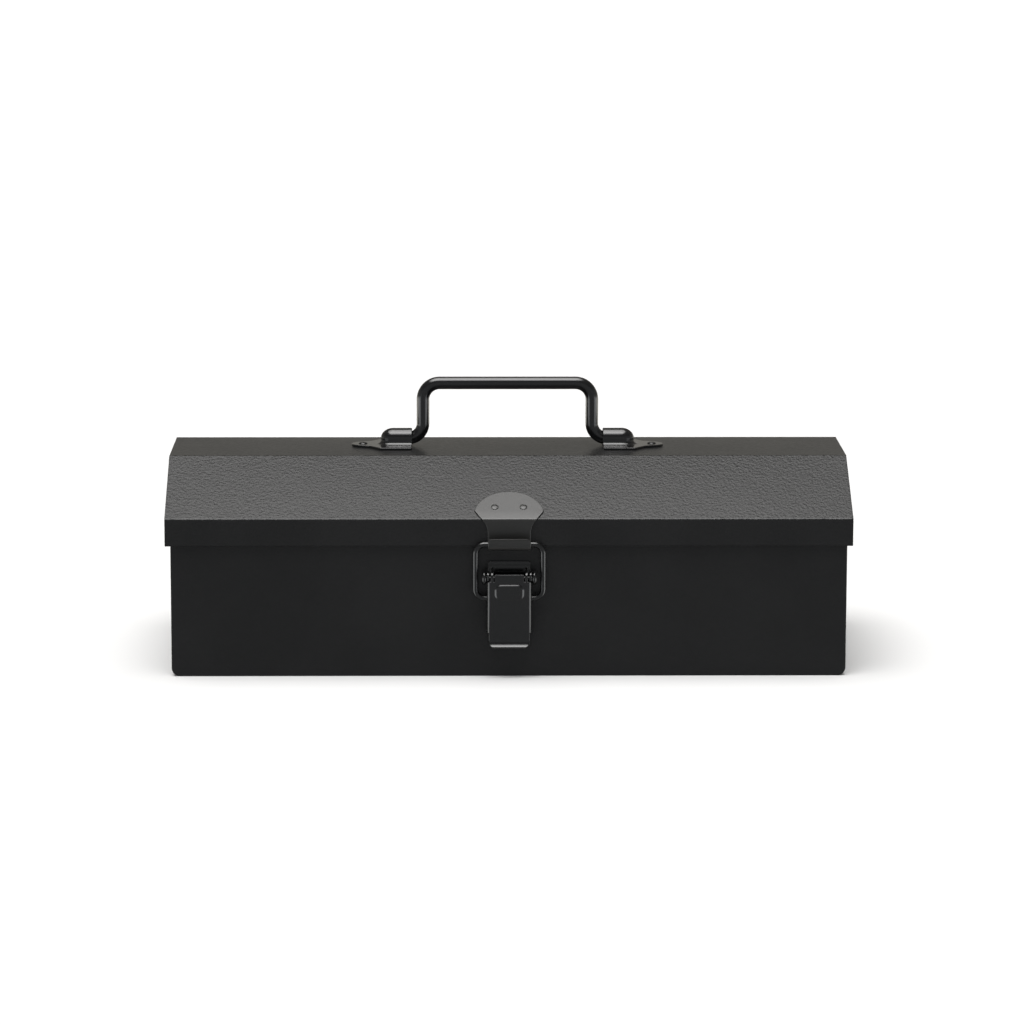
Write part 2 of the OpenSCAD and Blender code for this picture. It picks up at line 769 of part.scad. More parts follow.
// The lid's leaf: a plate on the skirt and one knuckle with a stop lug each side.
module hinge_lid_leaf(x) {
    plate_z = axis_z + knuckle_r + leaf_gap;
    plate_h = lid_leaf_top_z - plate_z;
    middle_x = middle_len / 2;
    color([0.12, 0.12, 0.13])
    difference() {
        union() {
            translate([x - hinge_len / 2, lid_y, plate_z])
                cube([hinge_len, leaf_t, plate_h]);
            translate([x - middle_x, lid_y, axis_z])
                cube([middle_len, leaf_t, knuckle_r + leaf_gap + leaf_t]);
            bar_x(knuckle_r, middle_len, x, axis_y, axis_z);
            intersection() {
                bar_x(knuckle_r, middle_len + 2 * stop_len, x, axis_y, axis_z);
                for (side = [-1, 1])
                    knuckle_sector(x + side * (middle_x + stop_len / 2) - stop_len / 2 - 0.01,
                        stop_len + 0.02, stop_from, stop_arc);
            }
        }
        bar_x(hinge_pin_d / 2 + running, hinge_len + 2 * past, x, axis_y, axis_z);
        at_hinge_lid_rivets() rivet_hole();
    }
}

// The body's leaf: a plate on the back wall, a jog out, and two knuckles that
// are cut away over the arc in which the lid's stop lugs travel.
module hinge_body_leaf(x) {
    y = body_d / 2;
    outer_len = (hinge_len - middle_len) / 2 - leaf_gap;
    path = [[y, jog_z - body_leaf_h + jog_h], [y, jog_z], [lid_y, jog_z + jog_h],
        [lid_y, axis_z - knuckle_r - leaf_gap]];
    outer_x = (hinge_len - outer_len) / 2;
    color([0.12, 0.12, 0.13])
    difference() {
        union() {
            along_x(hinge_len, x) polygon(bent(path, -leaf_t));
            for (side = [-1, 1]) {
                bar_x(knuckle_r, outer_len, x + side * outer_x, axis_y, axis_z);
                translate([x + side * outer_x - outer_len / 2, lid_y, axis_z - knuckle_r - leaf_gap - leaf_t])
                    cube([outer_len, leaf_t, knuckle_r + leaf_gap + leaf_t]);
            }
        }
        bar_x(hinge_pin_d / 2 + snug, hinge_len + 2 * past, x, axis_y, axis_z);
        for (side = [-1, 1])
            knuckle_sector(x + side * (middle_len / 2 + (stop_len + clear) / 2) - (stop_len + clear) / 2,
                stop_len + clear, stop_from - lid_open - stop_slack,
                stop_arc + lid_open + 2 * stop_slack);
        at_hinge_body_rivets() rivet_hole();
    }
}

module hinge_pin(x) {
    color([0.3, 0.3, 0.3])
        bar_x(hinge_pin_d / 2, hinge_len + 1.6, x, axis_y, axis_z);
}

module left_hinge_body_leaf() { hinge_body_leaf(-hinge_x); }

module right_hinge_body_leaf() { hinge_body_leaf(hinge_x); }

module left_hinge_lid_leaf() { hinge_lid_leaf(-hinge_x); }

module right_hinge_lid_leaf() { hinge_lid_leaf(hinge_x); }

module left_hinge_pin() { hinge_pin(-hinge_x); }

module right_hinge_pin() { hinge_pin(hinge_x); }

module hinge_body_rivets() {
    color([0.12, 0.12, 0.13])
        at_hinge_body_rivets() translate([0, 0, leaf_t]) rivet(leaf_t + sheet);
}

module hinge_lid_rivets() {
    color([0.12, 0.12, 0.13])
        at_hinge_lid_rivets() translate([0, 0, leaf_t]) rivet(leaf_t + sheet);
}

// ------------------------------------------------------------------- nodes

body_wrap();
body_front();
body_back();
lid_shell();
lid_left_end();
lid_right_end();
handle();
left_handle_bracket();
right_handle_bracket();
bracket_rivets();
keeper_plate();
keeper_rivets();
latch_base();
latch_base_rivets();
latch_pin();
latch_lever();
latch_wire();
left_hinge_body_leaf();
right_hinge_body_leaf();
left_hinge_lid_leaf();
right_hinge_lid_leaf();
left_hinge_pin();
right_hinge_pin();
hinge_body_rivets();
hinge_lid_rivets();
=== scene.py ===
"""Looks of a camber-top steel toolbox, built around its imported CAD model.

Every piece lies where its CAD node lies, in metres, with +Z up and the front facing -Y.
The lid's sheet is swept from its section, and the keeper, the handle brackets and the
lever are pressed from surfaces that are drawn here. The other sheet-metal pieces are
merged copies of their CAD nodes with rounded edges. The round rods and the rivets are
made by Geometry Nodes, and the studio is a pale floor under soft light.
"""

import json
import logging
import math
from dataclasses import dataclass, field
from enum import Enum
from typing import Callable, Iterable, Optional

import bmesh
import bpy
import numpy as np
from mathutils import Matrix, Vector

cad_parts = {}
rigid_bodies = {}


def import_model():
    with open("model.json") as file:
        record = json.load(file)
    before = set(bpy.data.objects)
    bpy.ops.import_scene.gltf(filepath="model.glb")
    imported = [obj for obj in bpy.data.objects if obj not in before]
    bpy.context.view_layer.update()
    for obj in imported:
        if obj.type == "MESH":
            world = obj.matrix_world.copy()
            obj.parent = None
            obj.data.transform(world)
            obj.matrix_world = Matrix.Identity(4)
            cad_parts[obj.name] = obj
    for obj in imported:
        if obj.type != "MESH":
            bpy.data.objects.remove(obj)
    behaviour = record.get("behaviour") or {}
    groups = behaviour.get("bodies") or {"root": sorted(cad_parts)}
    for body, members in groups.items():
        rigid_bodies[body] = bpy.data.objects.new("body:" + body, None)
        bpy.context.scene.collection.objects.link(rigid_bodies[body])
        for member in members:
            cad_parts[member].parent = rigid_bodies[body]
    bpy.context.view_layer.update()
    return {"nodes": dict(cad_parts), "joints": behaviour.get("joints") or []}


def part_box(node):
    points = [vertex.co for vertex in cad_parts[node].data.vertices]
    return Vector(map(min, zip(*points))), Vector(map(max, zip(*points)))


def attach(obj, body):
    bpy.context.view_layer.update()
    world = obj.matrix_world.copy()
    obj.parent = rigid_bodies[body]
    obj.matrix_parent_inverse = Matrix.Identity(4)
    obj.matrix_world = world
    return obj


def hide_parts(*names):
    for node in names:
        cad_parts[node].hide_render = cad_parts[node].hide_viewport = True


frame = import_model()

MM = 0.001
MERGE = 0.002 * MM
SHARP = math.radians(50)
CLOUD_SIZE = 45 * MM
SWAY_SIZE = 70 * MM

LOG = logging.getLogger("toolbox")

Colour = tuple[float, float, float]
Stops = tuple[tuple[float, Colour], ...]
BLACK: Colour = (0.0, 0.0, 0.0)
WHITE: Colour = (1.0, 1.0, 1.0)


class Body(Enum):
    """The CAD bodies that pieces ride on."""

    BOX = "body"
    LID = "lid"
    HANDLE = "handle"
    LEVER = "latch_lever"
    WIRE = "latch_wire"


class Slot(Enum):
    """The record's material slots."""

    PAINT = "satin_black_paint"
    SATIN = "satin_black_metal"
    GLOSS = "gloss_black"
    STEEL = "bare_steel"


def add_node(tree: bpy.types.NodeTree, kind: str, **inputs: object) -> bpy.types.Node:
    """Adds a node to a tree and joins or sets its inputs.

    Args:
        tree: The tree.
        kind: The node's type.
        inputs: A socket to join or a constant for each named input, where an underscore
            stands for a space.

    Returns:
        The node.
    """
    made = tree.nodes.new(kind)
    for name, given in inputs.items():
        socket = made.inputs[name.replace("_", " ")]
        if isinstance(given, bpy.types.NodeSocket):
            tree.links.new(given, socket)
        else:
            socket.default_value = given
    return made


# ------------------------------------------------------------------ finishes


@dataclass(frozen=True)
class Finish:
    """A painted or bare metal surface, made of nodes on Object coordinates.

    Sizes are in metres. The grain is the orange-peel texture of the coat, and the
    sway is the slight unevenness of the sheet under it.
    """

    name: str
    slot: Slot
    colour: Colour
    shade: float
    roughness: float
    roughness_spread: float
    specular: float
    grain_size: float
    grain_depth: float
    sway_depth: float
    metallic: float = 0.0
    coat: float = 0.0
    coat_roughness: float = 0.1
    stretch: tuple[float, float, float] = (1.0, 1.0, 1.0)

    def material(self) -> bpy.types.Material:
        """Builds the finish's material.

        Returns:
            The material, ready to be put on a mesh.
        """
        made = bpy.data.materials.new(self.name)
        made.use_nodes = True
        tree = made.node_tree
        tree.nodes.clear()
        shader = add_node(tree, "ShaderNodeBsdfPrincipled", Metallic=self.metallic,
                          Specular_IOR_Level=self.specular, Coat_Weight=self.coat,
                          Coat_Roughness=self.coat_roughness)
        add_node(tree, "ShaderNodeOutputMaterial", Surface=shader.outputs["BSDF"])
        coords = add_node(tree, "ShaderNodeTexCoord")
        mapping = add_node(tree, "ShaderNodeMapping", Scale=self.stretch,
                           Vector=coords.outputs["Object"])
        place = mapping.outputs["Vector"]
        cloud = self._noise(tree, place, CLOUD_SIZE, 3.0)
        self._tint(tree, cloud, shader)
        self._roughen(tree, cloud, place, shader)
        self._relief(tree, place, shader)
        return made

    def _noise(self, tree: bpy.types.NodeTree, place: bpy.types.NodeSocket,
               size: float, detail: float) -> bpy.types.NodeSocket:
        """Adds a noise pattern.

        Args:
            tree: The material's node tree.
            place: The coordinates that it reads.
            size: The size of its features, in metres.
            detail: How many octaves it has.

        Returns:
            The socket of its value, from 0 to 1.
        """
        noise = add_node(tree, "ShaderNodeTexNoise", Scale=1 / size, Detail=detail, Vector=place)
        return noise.outputs["Fac"]

    def _tint(self, tree: bpy.types.NodeTree, cloud: bpy.types.NodeSocket,
              shader: bpy.types.Node) -> None:
        """Varies the coat's colour slightly, from place to place.

        Args:
            tree: The material's node tree.
            cloud: The slow noise that it follows.
            shader: The surface shader.
        """
        ramp = add_node(tree, "ShaderNodeValToRGB", Fac=cloud)
        stops = ((0.35, 1 - self.shade), (0.65, 1 + self.shade))
        for stop, (at, gain) in zip(ramp.color_ramp.elements, stops):
            stop.position = at
            stop.color = (*[c * gain for c in self.colour], 1)
        tree.links.new(ramp.outputs["Color"], shader.inputs["Base Color"])

    def _roughen(self, tree: bpy.types.NodeTree, cloud: bpy.types.NodeSocket,
                 place: bpy.types.NodeSocket, shader: bpy.types.Node) -> None:
        """Varies the coat's roughness, slowly and in fine specks.

        Args:
            tree: The material's node tree.
            cloud: The slow noise that it follows.
            place: The coordinates of the specks.
            shader: The surface shader.
        """
        specks = self._noise(tree, place, 2.2 * self.grain_size, 2.0)
        blend = add_node(tree, "ShaderNodeMix", Factor=0.5, A=cloud, B=specks)
        span = add_node(tree, "ShaderNodeMapRange", From_Min=0.3, From_Max=0.7,
                        To_Min=self.roughness - self.roughness_spread,
                        To_Max=self.roughness + self.roughness_spread,
                        Value=blend.outputs["Result"])
        tree.links.new(span.outputs["Result"], shader.inputs["Roughness"])

    def _relief(self, tree: bpy.types.NodeTree, place: bpy.types.NodeSocket,
                shader: bpy.types.Node) -> None:
        """Adds the grain of the coat and the sway of the sheet as bump.

        Args:
            tree: The material's node tree.
            place: The coordinates of both patterns.
            shader: The surface shader.
        """
        sway = add_node(tree, "ShaderNodeBump", Strength=1.0, Distance=self.sway_depth,
                        Height=self._noise(tree, place, SWAY_SIZE, 1.0))
        cells = add_node(tree, "ShaderNodeTexVoronoi", Scale=1 / self.grain_size, Vector=place)
        cells.feature = "SMOOTH_F1"
        both = add_node(tree, "ShaderNodeMix", Factor=0.5, A=cells.outputs["Distance"],
                        B=self._noise(tree, place, self.grain_size, 2.0))
        grain = add_node(tree, "ShaderNodeBump", Strength=1.0, Distance=self.grain_depth,
                         Height=both.outputs["Result"], Normal=sway.outputs["Normal"])
        tree.links.new(grain.outputs["Normal"], shader.inputs["Normal"])


@dataclass
class Finishes:
    """The four finishes of the toolbox, each made once."""

    powder_coat: Finish = Finish(
        "black_powder_coat", Slot.PAINT, (0.0085, 0.0085, 0.0088), 0.12, 0.34, 0.04, 0.36,
        1.3 * MM, 0.24 * MM, 0.10 * MM)
    smooth_coat: Finish = Finish(
        "smooth_black_coat", Slot.SATIN, (0.017, 0.0168, 0.016), 0.08, 0.31, 0.03, 0.56,
        1.2 * MM, 0.004 * MM, 0.05 * MM)
    enamel: Finish = Finish(
        "gloss_black_enamel", Slot.GLOSS, (0.0045, 0.0045, 0.0048), 0.10, 0.20, 0.03, 0.5,
        1.0 * MM, 0.006 * MM, 0.03 * MM, coat=0.25, coat_roughness=0.12)
    drawn_steel: Finish = Finish(
        "drawn_steel", Slot.STEEL, (0.42, 0.42, 0.43), 0.10, 0.28, 0.08, 0.5,
        0.25 * MM, 0.003 * MM, 0.0, metallic=1.0, stretch=(0.05, 1.0, 1.0))
    made: dict[str, bpy.types.Material] = field(default_factory=dict)

    def of(self, finish: Finish) -> bpy.types.Material:
        """Makes a finish's material the first time it is asked for.

        Args:
            finish: One of the finishes.

        Returns:
            Its material.
        """
        if finish.name not in self.made:
            self.made[finish.name] = finish.material()
        return self.made[finish.name]


# --------------------------------------------------------------- mesh making


@dataclass
class Piece:
    """A finished mesh on its way into the scene."""

    name: str
    mesh: bpy.types.Mesh
    finish: Finish
    body: Body
    nodes: tuple[str, ...] = ()

    def install(self, finishes: Finishes) -> bpy.types.Object:
        """Puts the piece in the scene, on its body and over its CAD nodes.

        Args:
            finishes: Where its material comes from.

        Returns:
            The piece's object.
        """
        self.mesh.name = self.name
        self.mesh.materials.clear()
        self.mesh.materials.append(finishes.of(self.finish))
        made = bpy.data.objects.new(self.name, self.mesh)
        bpy.context.scene.collection.objects.link(made)
        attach(made, self.body.value)
        if self.nodes:
            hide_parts(*self.nodes)
        LOG.info("%s: %d faces on %s", self.name, len(self.mesh.polygons), self.body.value)
        return made


def merged(node: str) -> bmesh.types.BMesh:
    """Copies a CAD node's mesh, with its corners merged and its flat faces joined.

    Args:
        node: The CAD node's name.

    Returns:
        The copy, which the caller frees.
    """
    source = frame["nodes"][node].data
    made = bmesh.new()
    corners = [made.verts.new(v.co) for v in source.vertices]
    for face in source.polygons:
        made.faces.new([corners[i] for i in face.vertices])
    bmesh.ops.remove_doubles(made, verts=made.verts, dist=MERGE)
    bmesh.ops.dissolve_degenerate(made, edges=made.edges, dist=MERGE)
    bmesh.ops.dissolve_limit(made, angle_limit=math.radians(0.4), verts=made.verts,
                             edges=made.edges)
    return made


def loose_parts(node: str) -> list[np.ndarray]:
    """Splits a CAD node into its separate solids.

    Args:
        node: The CAD node's name.

    Returns:
        The corner points of each solid, from left to right.
    """
    shape = merged(node)
    left, parts = set(shape.verts), []
    while left:
        stack, found = [left.pop()], []
        while stack:
            corner = stack.pop()
            found.append(corner.co[:])
            near = {e.other_vert(corner) for e in corner.link_edges} & left
            left -= near
            stack += near
        parts.append(np.array(found))
    shape.free()
    return sorted(parts, key=lambda p: tuple(p.mean(0)))


def evaluated(mesh: bpy.types.Mesh, add: Callable[[bpy.types.Object], None]) -> bpy.types.Mesh:
    """Runs modifiers on a mesh and gives back the plain result.

    Args:
        mesh: The mesh to start from.
        add: Adds the modifiers to the object that it is given.

    Returns:
        A new mesh, with no modifier left on it.
    """
    work = bpy.data.objects.new("work", mesh)
    bpy.context.scene.collection.objects.link(work)
    add(work)
    graph = bpy.context.evaluated_depsgraph_get()
    made = bpy.data.meshes.new_from_object(
        work.evaluated_get(graph), preserve_all_data_layers=True, depsgraph=graph)
    work.modifiers.clear()
    bpy.data.objects.remove(work)
    return made


@dataclass(frozen=True)
class EdgeWork:
    """How a piece's cut edges are rounded: their radius, and what counts as sharp."""

    cut: float = 0.18 * MM
    cut_steps: int = 2
    sharp: float = math.radians(38)

    def apply(self, shape: bmesh.types.BMesh) -> bpy.types.Mesh:
        """Rounds the edges of a shape, which is freed.

        Args:
            shape: A closed shape with sharp edges.

        Returns:
            The finished mesh, with weighted normals.
        """
        mesh = bpy.data.meshes.new("work")
        shape.to_mesh(mesh)
        shape.free()
        mesh.shade_smooth()

        def add(work: bpy.types.Object) -> None:
            """Adds the modifiers that round the edges."""
            trim = work.modifiers.new("trim", "BEVEL")
            trim.limit_method = "ANGLE"
            trim.angle_limit = self.sharp
            trim.width = self.cut
            trim.segments = self.cut_steps
            trim.use_clamp_overlap = False
            even = work.modifiers.new("even", "WEIGHTED_NORMAL")
            even.mode = "FACE_AREA"
            even.weight = 50
            even.keep_sharp = True

        return evaluated(mesh, add)


def sin_deg(angle: float) -> float:
    """The sine of an angle in degrees."""
    return math.sin(math.radians(angle))


def cos_deg(angle: float) -> float:
    """The cosine of an angle in degrees."""
    return math.cos(math.radians(angle))


def smooth_step(value: float) -> float:
    """Eases from 0 to 1 as value goes from 0 to 1."""
    t = min(1.0, max(0.0, value))
    return t * t * (3 - 2 * t)


def arc(centre: tuple[float, float], radius: float, start: float, end: float,
        steps: int) -> list[Vector]:
    """Points along an arc.

    Args:
        centre: Its centre.
        radius: Its radius.
        start: The angle that it starts at, in degrees.
        end: The angle that it ends at.
        steps: How many segments it has.

    Returns:
        Its points, from start to end.
    """
    angles = [math.radians(start + (end - start) * i / steps) for i in range(steps + 1)]
    return [Vector(centre) + radius * Vector((math.cos(a), math.sin(a))) for a in angles]


def folded(corners: list[tuple[float, float]], radius: float,
           steps: int = 6) -> list[tuple[Vector, Vector]]:
    """Rounds the corners of a path.

    Args:
        corners: The path's corners.
        radius: The radius on the path's left at each inner corner.
        steps: How many segments each fold has.

    Returns:
        A (point, direction to the left) pair for each point of the rounded path.
    """
    points = [Vector(c) for c in corners]
    ways = [(b - a).normalized() for a, b in zip(points, points[1:])]
    lefts = [Vector((-w.y, w.x)) for w in ways]
    made = [(points[0], lefts[0])]
    for at, before, after, left_a, left_b in zip(points[1:], ways, ways[1:], lefts, lefts[1:]):
        half = before.angle(after) / 2
        start = at - before * radius * math.tan(half)
        turn = 1 if before.cross(after) < 0 else -1
        centre = start - turn * left_a * radius
        for i in range(steps + 1):
            left = left_a.slerp(left_b, i / steps)
            made.append((centre + turn * left * radius, left))
    return [*made, (points[-1], lefts[-1])]


Grid = list[list[Vector]]


def surface(grid: Grid, keep: Callable[[int, int], bool] = lambda i, j: True) -> bmesh.types.BMesh:
    """Joins rows of points into a surface.

    Args:
        grid: The rows, all with as many points.
        keep: Tells which cells are faces, from the numbers of their row and column.

    Returns:
        The surface, with doubled points merged.
    """
    made = bmesh.new()
    corners = [[made.verts.new(p) for p in row] for row in grid]
    for i, (low, high) in enumerate(zip(corners, corners[1:])):
        for j in range(len(low) - 1):
            if keep(i, j):
                made.faces.new((low[j], low[j + 1], high[j + 1], high[j]))
    bmesh.ops.remove_doubles(made, verts=made.verts, dist=MERGE)
    bmesh.ops.dissolve_degenerate(made, edges=made.edges, dist=MERGE)
    bmesh.ops.delete(made, geom=[v for v in made.verts if not v.link_faces], context="VERTS")
    return made


def pressed(shape: bmesh.types.BMesh, thickness: float, edge: float, steps: int = 2,
            towards: Optional[Vector] = None) -> bpy.types.Mesh:
    """Gives a surface its thickness and rounds its rim.

    Args:
        shape: The surface, which is freed.
        thickness: The sheet's thickness, added behind the surface.
        edge: The radius of the rim's edges.
        steps: How many segments that radius has.
        towards: The way that the surface faces on the whole.

    Returns:
        The closed mesh, with weighted normals.
    """
    facing = sum((f.normal * f.calc_area() for f in shape.faces), Vector())
    if towards is not None and facing.dot(towards) < 0:
        bmesh.ops.reverse_faces(shape, faces=shape.faces)
    mesh = bpy.data.meshes.new("work")
    shape.to_mesh(mesh)
    shape.free()
    mesh.shade_smooth()

    def add(work: bpy.types.Object) -> None:
        """Adds the modifiers that thicken the sheet and round its rim."""
        wall = work.modifiers.new("wall", "SOLIDIFY")
        wall.thickness = thickness
        wall.offset = -1
        trim = work.modifiers.new("trim", "BEVEL")
        trim.limit_method = "ANGLE"
        trim.angle_limit = SHARP
        trim.width = edge
        trim.segments = steps
        trim.use_clamp_overlap = False
        even = work.modifiers.new("even", "WEIGHTED_NORMAL")
        even.mode = "FACE_AREA_WITH_ANGLE"
        even.weight = 50

    return evaluated(mesh, add)


def cad_points(node: str) -> np.ndarray:
    """The corner points of a CAD node."""
    return np.array([v.co[:] for v in frame["nodes"][node].data.vertices])


def lathe(profile: Iterable[tuple[float, float]], steps: int = 32) -> bpy.types.Mesh:
    """Turns a profile round the Z axis into a closed mesh.

    Args:
        profile: (radius, height) points from the lower end to the upper one. Both ends
            are on the axis.
        steps: How many sides it has.

    Returns:
        The mesh, smooth where its profile bends gently.
    """
    inner = list(profile)[1:-1]
    low, high = list(profile)[0], list(profile)[-1]
    shape = bmesh.new()
    rings = []
    for radius, height in inner:
        angles = [2 * math.pi * i / steps for i in range(steps)]
        rings.append([shape.verts.new((radius * math.cos(a), radius * math.sin(a), height))
                      for a in angles])
    for below, above in zip(rings, rings[1:]):
        for i in range(steps):
            j = (i + 1) % steps
            shape.faces.new((below[i], below[j], above[j], above[i]))
    bottom, top = shape.verts.new((0, 0, low[1])), shape.verts.new((0, 0, high[1]))
    for i in range(steps):
        j = (i + 1) % steps
        shape.faces.new((bottom, rings[0][j], rings[0][i]))
        shape.faces.new((top, rings[-1][i], rings[-1][j]))
    mesh = bpy.data.meshes.new("lathed")
    shape.to_mesh(mesh)
    shape.free()
    mesh.shade_smooth()
    mesh.set_sharp_from_angle(angle=SHARP)
    return mesh


def round_profile(radius: float, low: float, high: float, edge: float,
                  steps: int = 4) -> list[tuple[float, float]]:
    """The profile of a cylinder with rounded rims.

    Args:
        radius: The cylinder's radius.
        low: The height of its lower end.
        high: The height of its upper end.
        edge: The radius of both rims.
        steps: How many segments each rim has.

    Returns:
        Its (radius, height) points, from axis to axis.
    """
    quarter = [math.pi / 2 * i / steps for i in range(steps + 1)]
    start = [(radius - edge + edge * math.sin(a), low + edge - edge * math.cos(a)) for a in quarter]
    end = [(radius - edge + edge * math.cos(a), high - edge + edge * math.sin(a)) for a in quarter]
    return [(0.0, low), *start, *end, (0.0, high)]


# ------------------------------------------------------------ geometry nodes


class NodePlan:
    """A Geometry Nodes tree that is built step by step, with named inputs."""

    def __init__(self, name: str) -> None:
        """Starts an empty tree.

        Args:
            name: The tree's name.
        """
        self.tree = bpy.data.node_groups.new(name, "GeometryNodeTree")
        self.tree.is_modifier = True
        self.ids: dict[str, str] = {}
        self._add_socket("Geometry", "NodeSocketGeometry", "INPUT")
        self._add_socket("Geometry", "NodeSocketGeometry", "OUTPUT")
        self.start = self.tree.nodes.new("NodeGroupInput")

    def _add_socket(self, name: str, kind: str, side: str) -> str:
        """Adds a socket to the tree's interface and returns its identifier."""
        return self.tree.interface.new_socket(name, in_out=side, socket_type=kind).identifier

    def value(self, name: str, kind: str = "NodeSocketFloat") -> bpy.types.NodeSocket:
        """Adds a named input to the tree.

        Args:
            name: The input's name.
            kind: The socket's type.

        Returns:
            The socket inside the tree that carries it.
        """
        self.ids[name] = self._add_socket(name, kind, "INPUT")
        return self.start.outputs[name]

    def node(self, kind: str, **inputs: object) -> bpy.types.Node:
        """Adds a node to the plan's tree.

        Args:
            kind: The node's type.
            inputs: What add_node takes.

        Returns:
            The node.
        """
        return add_node(self.tree, kind, **inputs)

    def finish(self, shape: bpy.types.NodeSocket) -> None:
        """Ends the tree in Realize Instances, smooth shading and Set Material.

        Args:
            shape: The geometry that the tree has made.
        """
        dress = self.value("Finish", "NodeSocketMaterial")
        real = self.node("GeometryNodeRealizeInstances", Geometry=shape)
        smooth = self.node("GeometryNodeSetShadeSmooth", Geometry=real.outputs["Geometry"])
        painted = self.node("GeometryNodeSetMaterial", Geometry=smooth.outputs["Geometry"],
                            Material=dress)
        end = self.tree.nodes.new("NodeGroupOutput")
        self.tree.links.new(painted.outputs["Geometry"], end.inputs["Geometry"])

    def run(self, mesh: bpy.types.Mesh, **values: object) -> bpy.types.Mesh:
        """Runs the tree on a mesh.

        Args:
            mesh: The mesh that it starts from.
            values: What each named input is set to, where an underscore stands for a
                space.

        Returns:
            The plain mesh that it makes.
        """
        def add(work: bpy.types.Object) -> None:
            """Adds the tree as a modifier, and sets its inputs."""
            step = work.modifiers.new("plan", "NODES")
            step.node_group = self.tree
            for name, given in values.items():
                step[self.ids[name.replace("_", " ")]] = given

        return evaluated(mesh, add)


def rod_plan() -> NodePlan:
    """Plans a round rod that follows a path, with a bend radius at each corner.

    Returns:
        The plan. Its mesh is the path, whose points carry the bend radius in the
        attribute bend_radius.
    """
    plan = NodePlan("bent_round_rod")
    thickness = plan.value("Rod radius")
    sides = plan.value("Sides", "NodeSocketInt")
    bend_steps = plan.value("Bend steps", "NodeSocketInt")
    path = plan.node("GeometryNodeMeshToCurve", Mesh=plan.start.outputs["Geometry"])
    bend = plan.node("GeometryNodeInputNamedAttribute", Name="bend_radius")
    rounded = plan.node("GeometryNodeFilletCurve", Curve=path.outputs["Curve"],
                        Radius=bend.outputs["Attribute"])
    rounded.mode = "POLY"
    plan.tree.links.new(bend_steps, rounded.inputs["Count"])
    section = plan.node("GeometryNodeCurvePrimitiveCircle", Resolution=sides, Radius=thickness)
    swept = plan.node("GeometryNodeCurveToMesh", Curve=rounded.outputs["Curve"],
                      Profile_Curve=section.outputs["Curve"], Fill_Caps=True)
    plan.finish(swept.outputs["Mesh"])
    return plan


def stud_plan() -> NodePlan:
    """Plans copies of one turned part, such as a rivet, each facing its own way.

    Returns:
        The plan. Its mesh has a point for each copy, whose attribute facing is the
        direction of the copy's Z axis.
    """
    plan = NodePlan("studs_on_points")
    pattern = plan.value("Pattern", "NodeSocketObject")
    scale = plan.value("Scale")
    shape = plan.node("GeometryNodeObjectInfo", Object=pattern)
    facing = plan.tree.nodes.new("GeometryNodeInputNamedAttribute")
    facing.data_type = "FLOAT_VECTOR"
    facing.inputs["Name"].default_value = "facing"
    turn = plan.tree.nodes.new("FunctionNodeAlignRotationToVector")
    turn.axis = "Z"
    plan.tree.links.new(facing.outputs["Attribute"], turn.inputs["Vector"])
    copies = plan.node("GeometryNodeInstanceOnPoints", Points=plan.start.outputs["Geometry"],
                       Instance=shape.outputs["Geometry"], Rotation=turn.outputs["Rotation"],
                       Scale=scale)
    plan.finish(copies.outputs["Instances"])
    return plan


def path_mesh(points: Iterable[Vector], bends: Iterable[float]) -> bpy.types.Mesh:
    """Makes the path of a rod.

    Args:
        points: Its corners, in order.
        bends: The bend radius at each point, 0 at the ends.

    Returns:
        A mesh of edges with the attribute bend_radius.
    """
    corners = [tuple(p) for p in points]
    mesh = bpy.data.meshes.new("path")
    mesh.from_pydata(corners, [(i, i + 1) for i in range(len(corners) - 1)], [])
    mesh.attributes.new("bend_radius", "FLOAT", "POINT").data.foreach_set("value", list(bends))
    return mesh


def bent_rod(plan: NodePlan, half: list[tuple[Vector, float]], radius: float, sides: int,
             bend_steps: int, finish: bpy.types.Material) -> bpy.types.Mesh:
    """Makes a bent rod whose left half mirrors its right one.

    Args:
        plan: The plan from rod_plan.
        half: (corner, bend radius) pairs of the right half, from its end inwards.
        radius: The rod's radius.
        sides: How many sides it has.
        bend_steps: How many segments each bend has.
        finish: The rod's material.

    Returns:
        The rod's mesh.
    """
    route = half + [(Vector((-p.x, p.y, p.z)), bend) for p, bend in reversed(half)]
    path = path_mesh([p for p, _ in route], [bend for _, bend in route])
    mesh = plan.run(path, Rod_radius=radius, Sides=sides, Bend_steps=bend_steps, Finish=finish)
    mesh.set_sharp_from_angle(angle=SHARP)
    return mesh


def stud_mesh(points: Iterable[Vector], facing: Iterable[Vector]) -> bpy.types.Mesh:
    """Makes the points that copies of a turned part stand on.

    Args:
        points: Where each copy's origin is.
        facing: The direction of each copy's Z axis.

    Returns:
        A mesh of points with the attribute facing.
    """
    mesh = bpy.data.meshes.new("studs")
    mesh.from_pydata([tuple(p) for p in points], [], [])
    ways = [c for v in facing for c in v]
    mesh.attributes.new("facing", "FLOAT_VECTOR", "POINT").data.foreach_set("vector", ways)
    return mesh


def studs(pattern: bpy.types.Mesh, points: list[Vector], facing: list[Vector],
          plan: NodePlan, finish: bpy.types.Material) -> bpy.types.Mesh:
    """Copies a turned part onto points.

    Args:
        pattern: The turned part, about the Z axis.
        points: Where each copy goes.
        facing: The direction of each copy's Z axis.
        plan: The plan from stud_plan.
        finish: The copies' material.

    Returns:
        One mesh of all the copies.
    """
    source = bpy.data.objects.new("pattern", pattern)
    made = plan.run(stud_mesh(points, facing), Pattern=source, Scale=1.0, Finish=finish)
    bpy.data.objects.remove(source)
    made.set_sharp_from_angle(angle=SHARP)
    return made


# ------------------------------------------------------------ sub-assemblies


